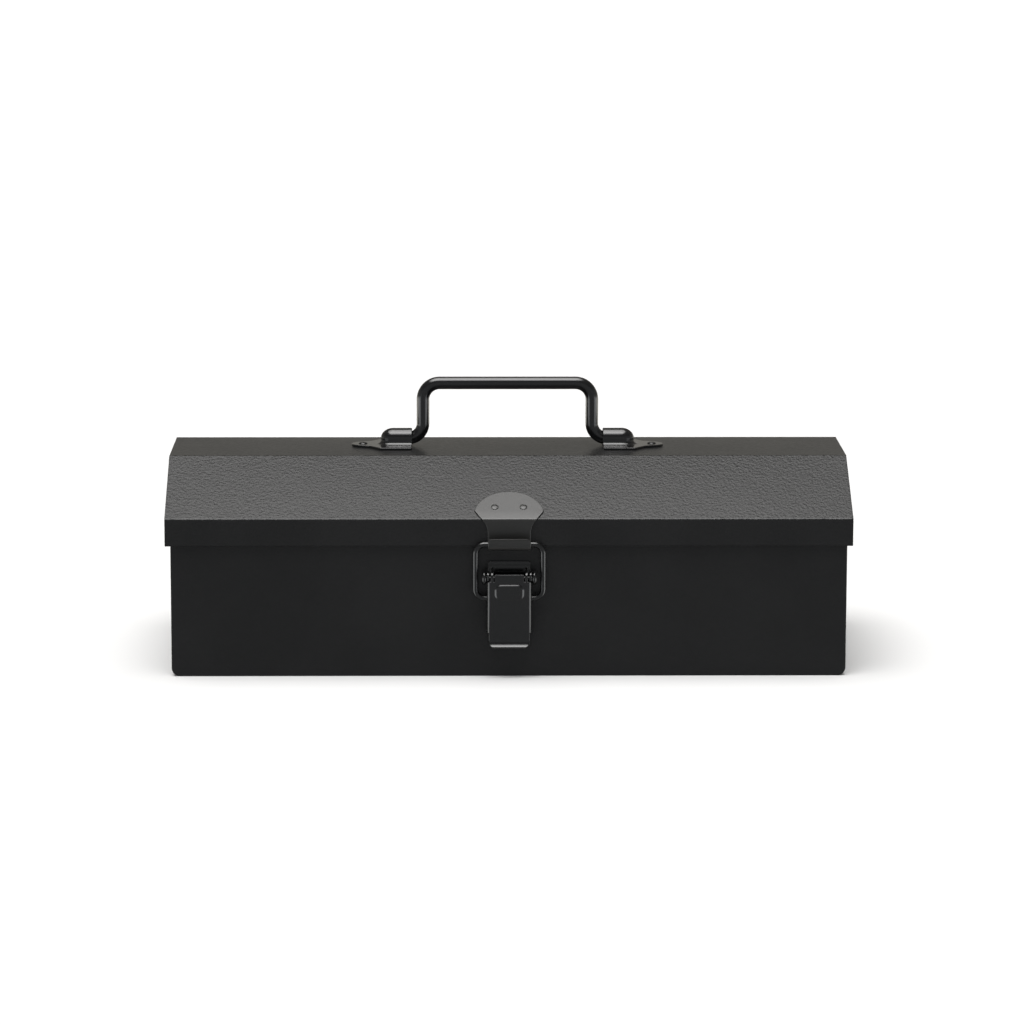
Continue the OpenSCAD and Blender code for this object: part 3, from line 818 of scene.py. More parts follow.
@dataclass
class BodyBox:
    """The box under the lid: one bent wrap, and two walls with hems."""

    cut: float = 0.25 * MM
    weld_d: float = 6.0 * MM
    weld_h: float = 0.22 * MM
    weld_inset: float = 8.5 * MM
    weld_steps: int = 7
    weld_z: tuple[float, float] = (19 * MM, 66 * MM)

    def build(self, finishes: Finishes, plan: NodePlan) -> None:
        """Builds the wrap, the two walls and their spot welds.

        Args:
            finishes: The toolbox's finishes.
            plan: The plan for copies of turned parts.
        """
        coat = finishes.powder_coat
        for node, name in (("body_wrap", "ends_and_bottom"), ("body_front", "front_wall"),
                           ("body_back", "back_wall")):
            mesh = EdgeWork(cut=self.cut).apply(merged(node))
            Piece(name, mesh, coat, Body.BOX, (node,)).install(finishes)
        Piece("wall_weld_marks", self._welds(finishes, plan), coat, Body.BOX).install(finishes)

    def _welds(self, finishes: Finishes, plan: NodePlan) -> bpy.types.Mesh:
        """Makes the low round marks of the spot welds near the walls' corners.

        Args:
            finishes: The toolbox's finishes.
            plan: The plan for copies of turned parts.

        Returns:
            The mesh of all the marks.
        """
        low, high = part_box("body_wrap")
        front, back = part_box("body_front")[0].y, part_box("body_back")[1].y
        radius, steps = self.weld_d / 2, self.weld_steps
        rise = [(radius * (1 - i / steps), self.weld_h * (1 - (1 - i / steps) ** 2) ** 2)
                for i in range(steps)]
        mark = lathe([(0, -self.weld_h), (radius, -self.weld_h), *rise, (0, self.weld_h)], 28)
        spots = [(side, z) for side in (low.x + self.weld_inset, high.x - self.weld_inset)
                 for z in self.weld_z]
        points = [Vector((x, front, z)) for x, z in spots] + [Vector((x, back, z)) for x, z in spots]
        facing = [Vector((0, -1, 0))] * len(spots) + [Vector((0, 1, 0))] * len(spots)
        return studs(mark, points, facing, plan, finishes.of(finishes.powder_coat))


@dataclass
class Lid:
    """The lid: one bent sheet with rounded folds, and two end panels.

    The sheet stands a little proud between its folds, except at its ends, where the
    panels hold it straight.
    """

    thickness: float = 0.8 * MM
    fold: float = 1.5 * MM
    hem_h: float = 6.0 * MM
    cut: float = 0.2 * MM
    camber: float = 0.25 * MM
    stations: int = 28

    def build(self, finishes: Finishes) -> None:
        """Builds the sheet and its two ends.

        Args:
            finishes: The toolbox's finishes.
        """
        coat = finishes.powder_coat
        Piece("lid_sheet", self._sheet(), coat, Body.LID, ("lid_shell",)).install(finishes)
        for side in ("left", "right"):
            mesh = EdgeWork(cut=self.cut).apply(merged(f"lid_{side}_end"))
            Piece(f"lid_end_{side}", mesh, coat, Body.LID, (f"lid_{side}_end",)).install(finishes)

    def _sheet(self) -> bpy.types.Mesh:
        """Makes the bent sheet with its hems.

        Returns:
            The sheet's mesh.
        """
        low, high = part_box("lid_shell")
        loop = self._section(low, high)
        half = (high.x - low.x) / 2
        grid = []
        for i in range(self.stations + 1):
            way = -math.cos(math.pi * i / self.stations)
            bulge = self.camber * (1 - way ** 4)
            grid.append([Vector((half * way, *(at + left * bulge * swell)))
                         for at, left, swell in loop])
        shape = bmesh.new()
        rings = [[shape.verts.new(p) for p in row] for row in grid]
        for below, above in zip(rings, rings[1:]):
            for a, b, c, d in zip(below, below[1:] + below[:1], above[1:] + above[:1], above):
                shape.faces.new((a, b, c, d))
        shape.faces.new(list(reversed(rings[0])))
        shape.faces.new(rings[-1])
        bmesh.ops.recalc_face_normals(shape, faces=shape.faces)
        return EdgeWork(cut=self.cut, sharp=SHARP).apply(shape)

    def _section(self, low: Vector, high: Vector) -> list[tuple[Vector, Vector, float]]:
        """Draws the sheet's closed section in the YZ plane.

        Args:
            low: The lid's lowest corner.
            high: The lid's highest corner.

        Returns:
            For each point its place, its outward direction and how far it swells.
        """
        points = cad_points("lid_shell")
        crease_z = points[points[:, 1] < low.y + MERGE][:, 2].max()
        top_y = points[points[:, 2] > high.z - MERGE][:, 1].max()
        hem_z = low.z + self.thickness
        path = folded([(low.y, hem_z), (low.y, crease_z), (-top_y, high.z), (top_y, high.z),
                       (high.y, crease_z), (high.y, hem_z)], self.fold)
        path = self._with_middles(path)
        inner = [(at - left * self.thickness, left, swell) for at, left, swell in reversed(path)]
        hem = [(p, Vector((0, 0)), 0.0) for p in self._hem(high.y, low.z, 1)]
        back_hem = [(p, Vector((0, 0)), 0.0) for p in reversed(self._hem(low.y, low.z, -1))]
        return [*path, *hem, *inner[1:-1], *back_hem]

    def _with_middles(self, path: list[tuple[Vector, Vector]],
                      steps: int = 10) -> list[tuple[Vector, Vector, float]]:
        """Divides the long flats of the path, and says how far each point swells.

        Args:
            path: The (point, direction) pairs of the rounded path.
            steps: How many parts each flat has.

        Returns:
            The path with a swell from 0 to 1 at each point.
        """
        made = [(*path[0], 0.0)]
        for (a, left_a), (b, left_b) in zip(path, path[1:]):
            if (b - a).length > 5 * self.fold and abs(left_a.x) < 0.99:
                for i in range(1, steps):
                    t = i / steps
                    made.append((a.lerp(b, t), left_a, 4 * t * (1 - t)))
            made.append((b, left_b, 0.0))
        return made

    def _hem(self, y: float, z: float, side: int) -> list[Vector]:
        """Draws the hem below and behind one skirt.

        Args:
            y: The skirt's outer face.
            z: The lid's lowest height.
            side: 1 at the back and -1 at the front.

        Returns:
            Its points, from the outer face to the inner one.
        """
        t = self.thickness
        turn = [Vector((y - side * t, z + t)) + t * Vector((side * math.cos(a), math.sin(a)))
                for a in (-math.pi * i / 8 for i in range(1, 9))]
        return [*turn, Vector((y - side * 2 * t, z + self.hem_h)),
                Vector((y - side * t, z + self.hem_h))]


@dataclass
class CarryHandle:
    """The swing handle of bent round rod."""

    leg_x: float = 46 * MM
    grip_bend: float = 9 * MM
    foot_bend: float = 8 * MM
    sides: int = 40
    bend_steps: int = 14

    def build(self, finishes: Finishes, plan: NodePlan) -> None:
        """Builds the rod along its path.

        Args:
            finishes: The toolbox's finishes.
            plan: The plan for bent rods.
        """
        low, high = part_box("handle")
        radius = (high.y - low.y) / 2
        foot_z, grip_z = low.z + radius, high.z - radius
        half = [(Vector((high.x, 0, foot_z)), 0.0),
                (Vector((self.leg_x, 0, foot_z)), self.foot_bend),
                (Vector((self.leg_x, 0, grip_z)), self.grip_bend)]
        mesh = bent_rod(plan, half, radius, self.sides, self.bend_steps,
                        finishes.of(finishes.enamel))
        Piece("carry_handle", mesh, finishes.enamel, Body.HANDLE, ("handle",)).install(finishes)


@dataclass
class HandleBrackets:
    """The two pressed brackets that hold the handle's feet.

    Each is one sheet: a half-round dome whose nose runs down to the flange, and a
    flange that narrows to a tongue. Lengths along X are from the middle of the box.
    """

    thickness: float = 1.5 * MM
    dome_r: float = 5.5 * MM
    nose_x: float = 62.3 * MM
    nose_stretch: float = 1.22
    foot_r: float = 2.2 * MM
    wide_x: float = 70.2 * MM
    corner_r: float = 1.5 * MM
    shoulder: tuple[float, float] = (74.7 * MM, 8.6 * MM)
    tongue_r: float = 6.8 * MM
    edge: float = 0.35 * MM

    def build(self, finishes: Finishes) -> None:
        """Builds both brackets.

        Args:
            finishes: The toolbox's finishes.
        """
        for side, way in (("left", -1), ("right", 1)):
            node = f"{side}_handle_bracket"
            low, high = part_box(node)
            near, far = sorted((abs(low.x), abs(high.x)))
            grid = [[Vector((way * p.x, p.y, p.z)) for p in row]
                    for row in self._grid(near, far, low, high)]
            mesh = pressed(surface(grid), self.thickness, self.edge, 3, Vector((0, 0, 1)))
            name = f"handle_bracket_{side}"
            Piece(name, mesh, finishes.enamel, Body.LID, (node,)).install(finishes)

    def _outline(self, near: float, far: float, depth: float) -> list[Vector]:
        """Draws the flange's edge from above, from its back corner to its front one.

        Args:
            near: Where the bracket begins.
            far: Where its tongue ends.
            depth: Its half depth.

        Returns:
            Its points as (x, y).
        """
        tip = (far - self.tongue_r, 0.0)
        side = [Vector((near + (self.wide_x - self.corner_r - near) * i / 10, depth))
                for i in range(10)]
        corner = arc((self.wide_x - self.corner_r, depth - self.corner_r), self.corner_r, 90, 12, 6)
        run = [corner[-1].lerp(Vector(self.shoulder), i / 6) for i in range(1, 7)]
        tongue = arc(tip, self.tongue_r, 68, 0, 12)
        half = [*side, *corner, *run, *tongue]
        return half + [Vector((p.x, -p.y)) for p in reversed(half[:-1])]

    def _grid(self, near: float, far: float, low: Vector, high: Vector) -> Grid:
        """Lays out the bracket's top surface.

        Args:
            near: Where the bracket begins.
            far: Where its tongue ends.
            low: The CAD bracket's lowest corner.
            high: Its highest corner.

        Returns:
            One row of points for each point of the flange's edge, from the ridge out.
        """
        flange_z = low.z + self.thickness
        pivot_z = high.z - self.dome_r
        reach = self.dome_r + self.foot_r
        section = [Vector((p.y, pivot_z + p.x)) for p in arc((0, 0), self.dome_r, 0, 90, 12)]
        foot = [Vector((reach + p.x, flange_z + self.foot_r + p.y))
                for p in arc((0, 0), self.foot_r, 180, 270, 7)]
        grid = []
        for edge in self._outline(near, far, high.y):
            ahead = max(0.0, edge.x - self.nose_x)
            straight = ahead == 0.0
            angle = math.atan2(edge.y, ahead / self.nose_stretch)
            centre = Vector((edge.x if straight else self.nose_x, 0))
            way = Vector((0 if straight else self.nose_stretch * math.cos(angle),
                          math.copysign(1, edge.y) if straight else math.sin(angle)))
            row = [Vector((*(centre + way * p.x), p.y)) for p in [*section, *foot]]
            rim = Vector((*edge, flange_z))
            grid.append([*row, *[row[-1].lerp(rim, t) for t in (0.35, 0.7, 1.0)]])
        return grid


@dataclass
class Keeper:
    """The mushroom-headed plate whose hook the wire pulls on.

    Its outline is drawn on the flat sheet, as half widths along its length, and is then
    laid along the slope, down the skirt and round the hook. Length 0 is at the fold
    between slope and skirt, and it grows upwards.
    """

    thickness: float = 1.0 * MM
    tilt: float = math.radians(30.02)
    fold: float = 1.6 * MM
    head_r: float = 18.6 * MM
    head_rise: float = 3.2 * MM
    tip_r: float = 1.4 * MM
    tip: tuple[float, float] = (17.0 * MM, 6.5 * MM)
    crease_half: float = 15.0 * MM
    neck_half: float = 11.35 * MM
    neck_drop: float = 8.3 * MM
    hook_back_r: float = 2.4 * MM
    hook_flat: float = 2.0 * MM
    hook_front_r: float = 3.2 * MM
    lip_r: float = 2.1 * MM
    lip_h: float = 2.5 * MM
    lip_rows: int = 4
    slope_run: float = 30 * MM
    tip_angles: tuple[float, float] = (-38, 10)
    head_angles: tuple[float, float] = (14, 90)
    edge: float = 0.28 * MM
    across: int = 24

    def build(self, finishes: Finishes) -> None:
        """Builds the plate.

        Args:
            finishes: The toolbox's finishes.
        """
        low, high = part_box("lid_shell")
        points = cad_points("lid_shell")
        crease = Vector((low.y, points[points[:, 1] < low.y + MERGE][:, 2].max()))
        line = self._line(crease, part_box("keeper_plate")[0].z)
        grid = []
        for half, length in self._outline(line):
            at = self._place(line, length)
            grid.append([Vector((half * (2 * j / self.across - 1), *at))
                         for j in range(self.across + 1)])
        mesh = pressed(surface(grid), self.thickness, self.edge, 3, Vector((0, -1, 1)))
        Piece("keeper", mesh, finishes.smooth_coat, Body.LID, ("keeper_plate",)).install(finishes)

    def _line(self, crease: Vector, low_z: float) -> list[tuple[float, Vector]]:
        """Draws the plate's front face from the side, from the hook's lip to its head.

        Args:
            crease: The (y, z) of the lid's fold.
            low_z: The height of the hook's underside.

        Returns:
            (length, point) pairs.
        """
        t, face = self.thickness, crease.x
        back_y = face - t - self.hook_back_r
        front_y = back_y - self.hook_flat
        hook_z = low_z + t
        front = arc((front_y, hook_z + self.hook_front_r), self.hook_front_r, 180, 270, 8)
        back = arc((back_y, hook_z + self.hook_back_r), self.hook_back_r, 270, 360, 8)
        lip = [Vector((front[0].x, hook_z + self.hook_front_r
                       + self.lip_h * (1 - i / self.lip_rows))) for i in range(self.lip_rows)]
        outer = [*lip, *front, *back]
        slope = Vector((math.cos(self.tilt), math.sin(self.tilt)))
        top = crease + slope * self.slope_run + Vector((-slope.y, slope.x)) * t
        bend = (face - t, crease.y + t * math.tan(self.tilt / 2))
        surface_line = folded([(face - t, back[-1].y), bend, tuple(top)], self.fold, 6)
        outer += [p for p, _ in surface_line[1:]]
        middle = min(range(len(outer)), key=lambda i: (outer[i] - crease).length)
        lengths = [0.0]
        for a, b in zip(outer, outer[1:]):
            lengths.append(lengths[-1] + (b - a).length)
        return [(s - lengths[middle], p) for s, p in zip(lengths, outer)]

    def _place(self, line: list[tuple[float, Vector]], length: float) -> Vector:
        """Finds the point at a length along the plate's side line."""
        for (s, a), (e, b) in zip(line, line[1:]):
            if length <= e:
                return a.lerp(b, (length - s) / (e - s))
        return line[-1][1]

    def _outline(self, line: list[tuple[float, Vector]]) -> list[tuple[float, float]]:
        """Draws the flat outline from the lip to the head's top.

        Args:
            line: The plate's side line.

        Returns:
            (half width, length) pairs.
        """
        end = line[0][0]
        lip = [(self.neck_half - self.lip_r + p.x, end + self.lip_r - p.y)
               for p in arc((0, 0), self.lip_r, 90, 0, 6)]
        bends = [(self.neck_half, s) for s, _ in line if lip[-1][1] < s < -self.neck_drop]
        rise = self.crease_half - self.neck_half
        waist_r = (self.neck_drop ** 2 + rise ** 2) / (2 * rise)
        neck = [(self.neck_half + waist_r - math.sqrt(waist_r ** 2 - d ** 2), d - self.neck_drop)
                for d in (self.neck_drop * i / 10 for i in range(11))]
        tips = [tuple(p) for p in arc(self.tip, self.tip_r, *self.tip_angles, 6)]
        head = [tuple(p) for p in arc((0, self.head_rise), self.head_r, *self.head_angles, 26)]
        return [*lip, *bends, *neck, *tips, *head]


@dataclass
class Lever:
    """The latch's pressed lever: a web with a raised panel, two side walls with ears
    round the pin, and a flared lip. Places are from the pin, forwards and upwards.
    """

    thickness: float = 1.1 * MM
    half_w: float = 11.8 * MM
    web_out: float = 3.5 * MM
    fold: float = 2.0 * MM
    tab_top: float = 2.0 * MM
    tab_half: float = 7.6 * MM
    notch: float = -1.6 * MM
    bend: float = -16.6 * MM
    bend_angle: float = 6.0
    belly_angle: float = 21.0
    belly_drop: float = 15.0 * MM
    flare_angle: float = 50.0
    length: float = 37.3 * MM
    side_end: float = -29.9 * MM
    lip_half: float = 10.8 * MM
    lip_r: float = 2.4 * MM
    ear_r: float = 3.9 * MM
    back: tuple[tuple[float, float], ...] = (
        (-29.9 * MM, -1.0 * MM), (-17.5 * MM, -4.8 * MM), (-8.3 * MM, -5.0 * MM), (0.0, -3.9 * MM))
    panel_half: float = 7.3 * MM
    panel_z: tuple[float, float] = (-11.3 * MM, -3.4 * MM)
    panel_r: float = 2.8 * MM
    panel_rise: float = 0.8 * MM
    panel_edge: float = 0.9 * MM
    edge: float = 0.25 * MM
    row_step: float = 0.55 * MM
    flare_rows: int = 16
    side_columns: int = 7
    fold_columns: int = 6
    web_columns: int = 38

    def mesh(self) -> bpy.types.Mesh:
        """Makes the lever.

        Returns:
            The lever's mesh, in place.
        """
        pin = Vector(next(j["pos_m"] for j in frame["joints"] if j["name"] == "lever_turn"))
        line = self._line()
        grid = [[Vector((x, pin.y - u, pin.z + z)) for x, u, z in self._row(at, way)]
                for at, way in line]
        heights = [at.y for at, _ in line]
        side = self.side_columns + self.fold_columns
        web = range(side, side + self.web_columns)
        step = 2 * (self.half_w - self.fold) / self.web_columns
        in_tab = {j for j in web
                  if abs((j - side + 0.5) * step - self.half_w + self.fold) < self.tab_half}

        def keep(i: int, j: int) -> bool:
            """Tells whether a cell is sheet, or is cut away."""
            middle = (heights[i] + heights[i + 1]) / 2
            wall = j < self.side_columns or j >= side + self.web_columns + self.fold_columns
            if middle > self.notch:
                return (j in in_tab and middle < self.tab_top) or wall
            return j in web or middle > self.side_end

        return pressed(surface(grid, keep), self.thickness, self.edge, 2, Vector((0, -1, 0)))

    def _line(self) -> list[tuple[Vector, Vector]]:
        """Draws the web's outer face from the side, from above the ears to the lip.

        Returns:
            The (forward, up) place and the outward direction at each row.
        """
        made = []
        for start, end in ((self.ear_r, self.notch), (self.notch, self.bend)):
            count = round((start - end) / self.row_step)
            made += [(Vector((self.web_out, start + (end - start) * i / count)), Vector((1, 0)))
                     for i in range(count)]
        belly_r = self.belly_drop / (sin_deg(self.belly_angle) - sin_deg(self.bend_angle))
        count = round(self.belly_drop / self.row_step)
        for i in range(count + 1):
            a = self.bend_angle + (self.belly_angle - self.bend_angle) * i / count
            at = Vector((self.web_out - belly_r * (cos_deg(self.bend_angle) - cos_deg(a)),
                         self.bend - belly_r * (sin_deg(a) - sin_deg(self.bend_angle))))
            made.append((at, Vector((cos_deg(a), -sin_deg(a)))))
        end = made[-1][0]
        flare_r = (end.y + self.length) / (sin_deg(self.belly_angle) + sin_deg(self.flare_angle))
        for i in range(1, self.flare_rows + 1):
            a = -self.belly_angle + (self.flare_angle + self.belly_angle) * i / self.flare_rows
            at = end + flare_r * Vector((cos_deg(self.belly_angle) - cos_deg(a),
                                         -sin_deg(a) - sin_deg(self.belly_angle)))
            made.append((at, Vector((cos_deg(a), sin_deg(a)))))
        return made

    def _row(self, at: Vector, way: Vector) -> list[tuple[float, float, float]]:
        """Lays out one row across the lever.

        Args:
            at: The (forward, up) place of the web.
            way: The web's outward direction there.

        Returns:
            (across, forward, up) of each point, from the left wall's back edge to the
            right one's.
        """
        z = at.y
        back = float(np.interp(z, [p[0] for p in self.back], [p[1] for p in self.back]))
        front = at.x - self.fold
        if z > 0:
            back = -math.sqrt(max(0.0, self.ear_r ** 2 - z ** 2))
        if z > self.notch + MERGE:
            front = min(self.web_out, -back if z > 0 else self.web_out)
        walls = [(self.half_w, back + (front - back) * j / self.side_columns, z)
                 for j in range(self.side_columns)]
        turn = [(self.half_w - self.fold + p.x, at.x - self.fold + p.y, z)
                for p in arc((0, 0), self.fold, 0, 90, self.fold_columns)]
        if z > self.notch + MERGE:
            turn[0] = (self.half_w, front, z)
        side = [*walls, *turn]
        flat = self.half_w - self.fold
        spread = self._lip_half(z) / flat
        web = []
        for j in range(1, self.web_columns):
            x = flat * (1 - 2 * j / self.web_columns) * spread
            rise = self._panel(x, z)
            web.append((x, at.x + rise * way.x, z + rise * way.y))
        if z < self.side_end:
            side[-1] = (flat * spread, at.x, z)
        return [*[(-x, u, h) for x, u, h in side], *[(-x, u, h) for x, u, h in web],
                *reversed(side)]

    def _lip_half(self, z: float) -> float:
        """The half width of the web at a height: wider below the side walls."""
        if z > self.side_end:
            return self.half_w - self.fold
        low = z + self.length
        if low >= self.lip_r:
            return self.lip_half
        return self.lip_half - self.lip_r + math.sqrt(max(0, self.lip_r ** 2
                                                          - (self.lip_r - low) ** 2))

    def _panel(self, x: float, z: float) -> float:
        """How far the raised panel lifts the web at a place across and up it."""
        low, high = self.panel_z
        away = Vector((max(0.0, abs(x) - self.panel_half + self.panel_r),
                       max(0.0, abs(z - (low + high) / 2) - (high - low) / 2 + self.panel_r)))
        outside = away.length - self.panel_r
        return self.panel_rise * smooth_step(0.5 - outside / self.panel_edge)


@dataclass
class Latch:
    """The draw latch: base plate, lever, headed pin and wire loop."""

    cut: float = 0.2 * MM
    wire_bend: float = 5 * MM
    wire_foot_in: float = 9.2 * MM
    wire_sides: int = 28
    bend_steps: int = 12
    pin_edge: float = 1.3 * MM

    def build(self, finishes: Finishes, rods: NodePlan) -> None:
        """Builds the four pieces of the latch.

        Args:
            finishes: The toolbox's finishes.
            rods: The plan for bent rods.
        """
        enamel = finishes.enamel
        plate = EdgeWork(cut=self.cut).apply(merged("latch_base"))
        Piece("latch_base_plate", plate, enamel, Body.BOX, ("latch_base",)).install(finishes)
        Piece("lever", Lever().mesh(), enamel, Body.LEVER, ("latch_lever",)).install(finishes)
        Piece("lever_pin", self._pin(), enamel, Body.BOX, ("latch_pin",)).install(finishes)
        Piece("wire_loop", self._wire(finishes, rods), enamel, Body.WIRE,
              ("latch_wire",)).install(finishes)

    def _pin(self) -> bpy.types.Mesh:
        """Makes the pin with its two domed heads.

        Returns:
            The pin's mesh, in place.
        """
        low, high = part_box("latch_pin")
        points = cad_points("latch_pin")
        middle = (low + high) / 2
        reach = np.hypot(points[:, 1] - middle.y, points[:, 2] - middle.z)
        head_r, shank_r = reach.max(), reach[reach > 0.2 * reach.max()].min()
        inner = np.abs(points[reach > 0.9 * head_r][:, 0]).min()
        rim = round_profile(head_r, inner, high.x, self.pin_edge, 6)[1:]
        half = [(shank_r, inner), (head_r - 0.2 * MM, inner), *rim[2:]]
        profile = [(r, -x) for r, x in reversed(half)] + half
        mesh = lathe(profile, 40)
        mesh.transform(Matrix.Translation(middle) @ Matrix.Rotation(math.pi / 2, 4, "Y"))
        return mesh

    def _wire(self, finishes: Finishes, rods: NodePlan) -> bpy.types.Mesh:
        """Makes the wire loop along its path.

        Args:
            finishes: The toolbox's finishes.
            rods: The plan for bent rods.

        Returns:
            The loop's mesh.
        """
        low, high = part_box("latch_wire")
        foot = Vector(next(j["pos_m"] for j in frame["joints"] if j["name"] == "wire_turn"))
        radius = foot.z - low.z
        leg_x = high.x - radius
        bar = Vector((0, low.y + radius, high.z - radius))
        half = [(Vector((x, at.y, at.z)), bend) for x, at, bend in (
            (self.wire_foot_in, foot, 0.0), (leg_x, foot, self.wire_bend),
            (leg_x, bar, self.wire_bend))]
        return bent_rod(rods, half, radius, self.wire_sides, self.bend_steps,
                        finishes.of(finishes.enamel))


@dataclass
class Hinges:
    """The two back hinges: a leaf on the body, a leaf on the lid and a pin each."""

    cut: float = 0.18 * MM

    def build(self, finishes: Finishes) -> None:
        """Builds the leaves and pins of both hinges.

        Args:
            finishes: The toolbox's finishes.
        """
        parts = (("hinge_body_leaf", Body.BOX, finishes.enamel),
                 ("hinge_lid_leaf", Body.LID, finishes.enamel),
                 ("hinge_pin", Body.BOX, finishes.drawn_steel))
        for side in ("left", "right"):
            for part, body, finish in parts:
                node = f"{side}_{part}"
                mesh = EdgeWork(cut=self.cut).apply(merged(node))
                Piece(f"{part}_{side}", mesh, finish, body, (node,)).install(finishes)


@dataclass
class Fasteners:
    """Every group of rivets, copied onto the places of its CAD node."""

    head_h: float = 0.9 * MM
    shank_share: float = 0.6
    keeper_tilt: float = math.radians(30.02)
    head_bell: tuple[float, float] = (1.0, 1.0)
    pip_bell: tuple[float, float] = (1.5, 0.42)

    def build(self, finishes: Finishes, plan: NodePlan) -> None:
        """Builds the groups of rivets.

        Args:
            finishes: The toolbox's finishes.
            plan: The plan for copies of turned parts.
        """
        up, front, back = Vector((0, 0, 1)), Vector((0, -1, 0)), Vector((0, 1, 0))
        slope = Vector((0, -math.sin(self.keeper_tilt), math.cos(self.keeper_tilt)))
        groups = (
            ("bracket_rivets", "bracket_rivet_heads", Body.LID, up, finishes.enamel),
            ("keeper_rivets", "keeper_pips", Body.LID, slope, finishes.smooth_coat),
            ("latch_base_rivets", "base_rivet_heads", Body.BOX, front, finishes.enamel),
            ("hinge_body_rivets", "hinge_body_rivet_heads", Body.BOX, back, finishes.enamel),
            ("hinge_lid_rivets", "hinge_lid_rivet_heads", Body.LID, back, finishes.enamel))
        for node, name, body, facing, finish in groups:
            bell = self.pip_bell if node == "keeper_rivets" else self.head_bell
            mesh = self._group(loose_parts(node), facing, bell, plan, finishes.of(finish))
            Piece(name, mesh, finish, body, (node,)).install(finishes)

    def _group(self, solids: list[np.ndarray], facing: Vector, bell: tuple[float, float],
               plan: NodePlan, finish: bpy.types.Material) -> bpy.types.Mesh:
        """Makes one group of like rivets.

        Args:
            solids: The corner points of each CAD rivet.
            facing: The way that their heads face.
            bell: The crown's power, which is 1 for a round head and more for one that
                runs out into the sheet, and its share of the CAD head's height.
            plan: The plan for copies of turned parts.
            finish: The rivets' material.

        Returns:
            The mesh of the group.
        """
        way = np.array(facing)
        first = solids[0]
        along = first @ way
        middle = first.mean(0)
        off = np.linalg.norm((first - middle) - np.outer((first - middle) @ way, way), axis=1)
        near_top = along > along.max() - self.head_h * 1.05
        head_r = off[near_top].max()
        head_h = along.max() - along[near_top & (off > head_r - MERGE)].min()
        length = along.max() - along.min()
        power, share = bell
        crown_h = share * head_h
        dome = [(head_r * math.cos(a), crown_h * math.sin(a) ** power)
                for a in (math.pi / 2 * i / 9 for i in range(9))]
        tail_r = off[along < along.min() + 0.5 * self.head_h].max()
        low = head_h - length
        tail_h = min(self.head_h, 0.3 * length)
        tail = [(tail_r * math.cos(a), low + tail_h - tail_h * math.sin(a))
                for a in (math.pi / 2 * i / 5 for i in range(4, -1, -1))]
        shank_r = self.shank_share * head_r
        profile = [(0, low), *tail, (shank_r, low + tail_h), (shank_r, 0), *dome, (0, crown_h)]
        spots = [Vector(s.mean(0) + way * ((s @ way).max() - head_h - s.mean(0) @ way))
                 for s in solids]
        LOG.info("rivets of radius %.2f mm and head height %.2f mm", head_r / MM, head_h / MM)
        return studs(lathe(profile, 28), spots, [facing] * len(spots), plan, finish)


# -------------------------------------------------------------------- studio


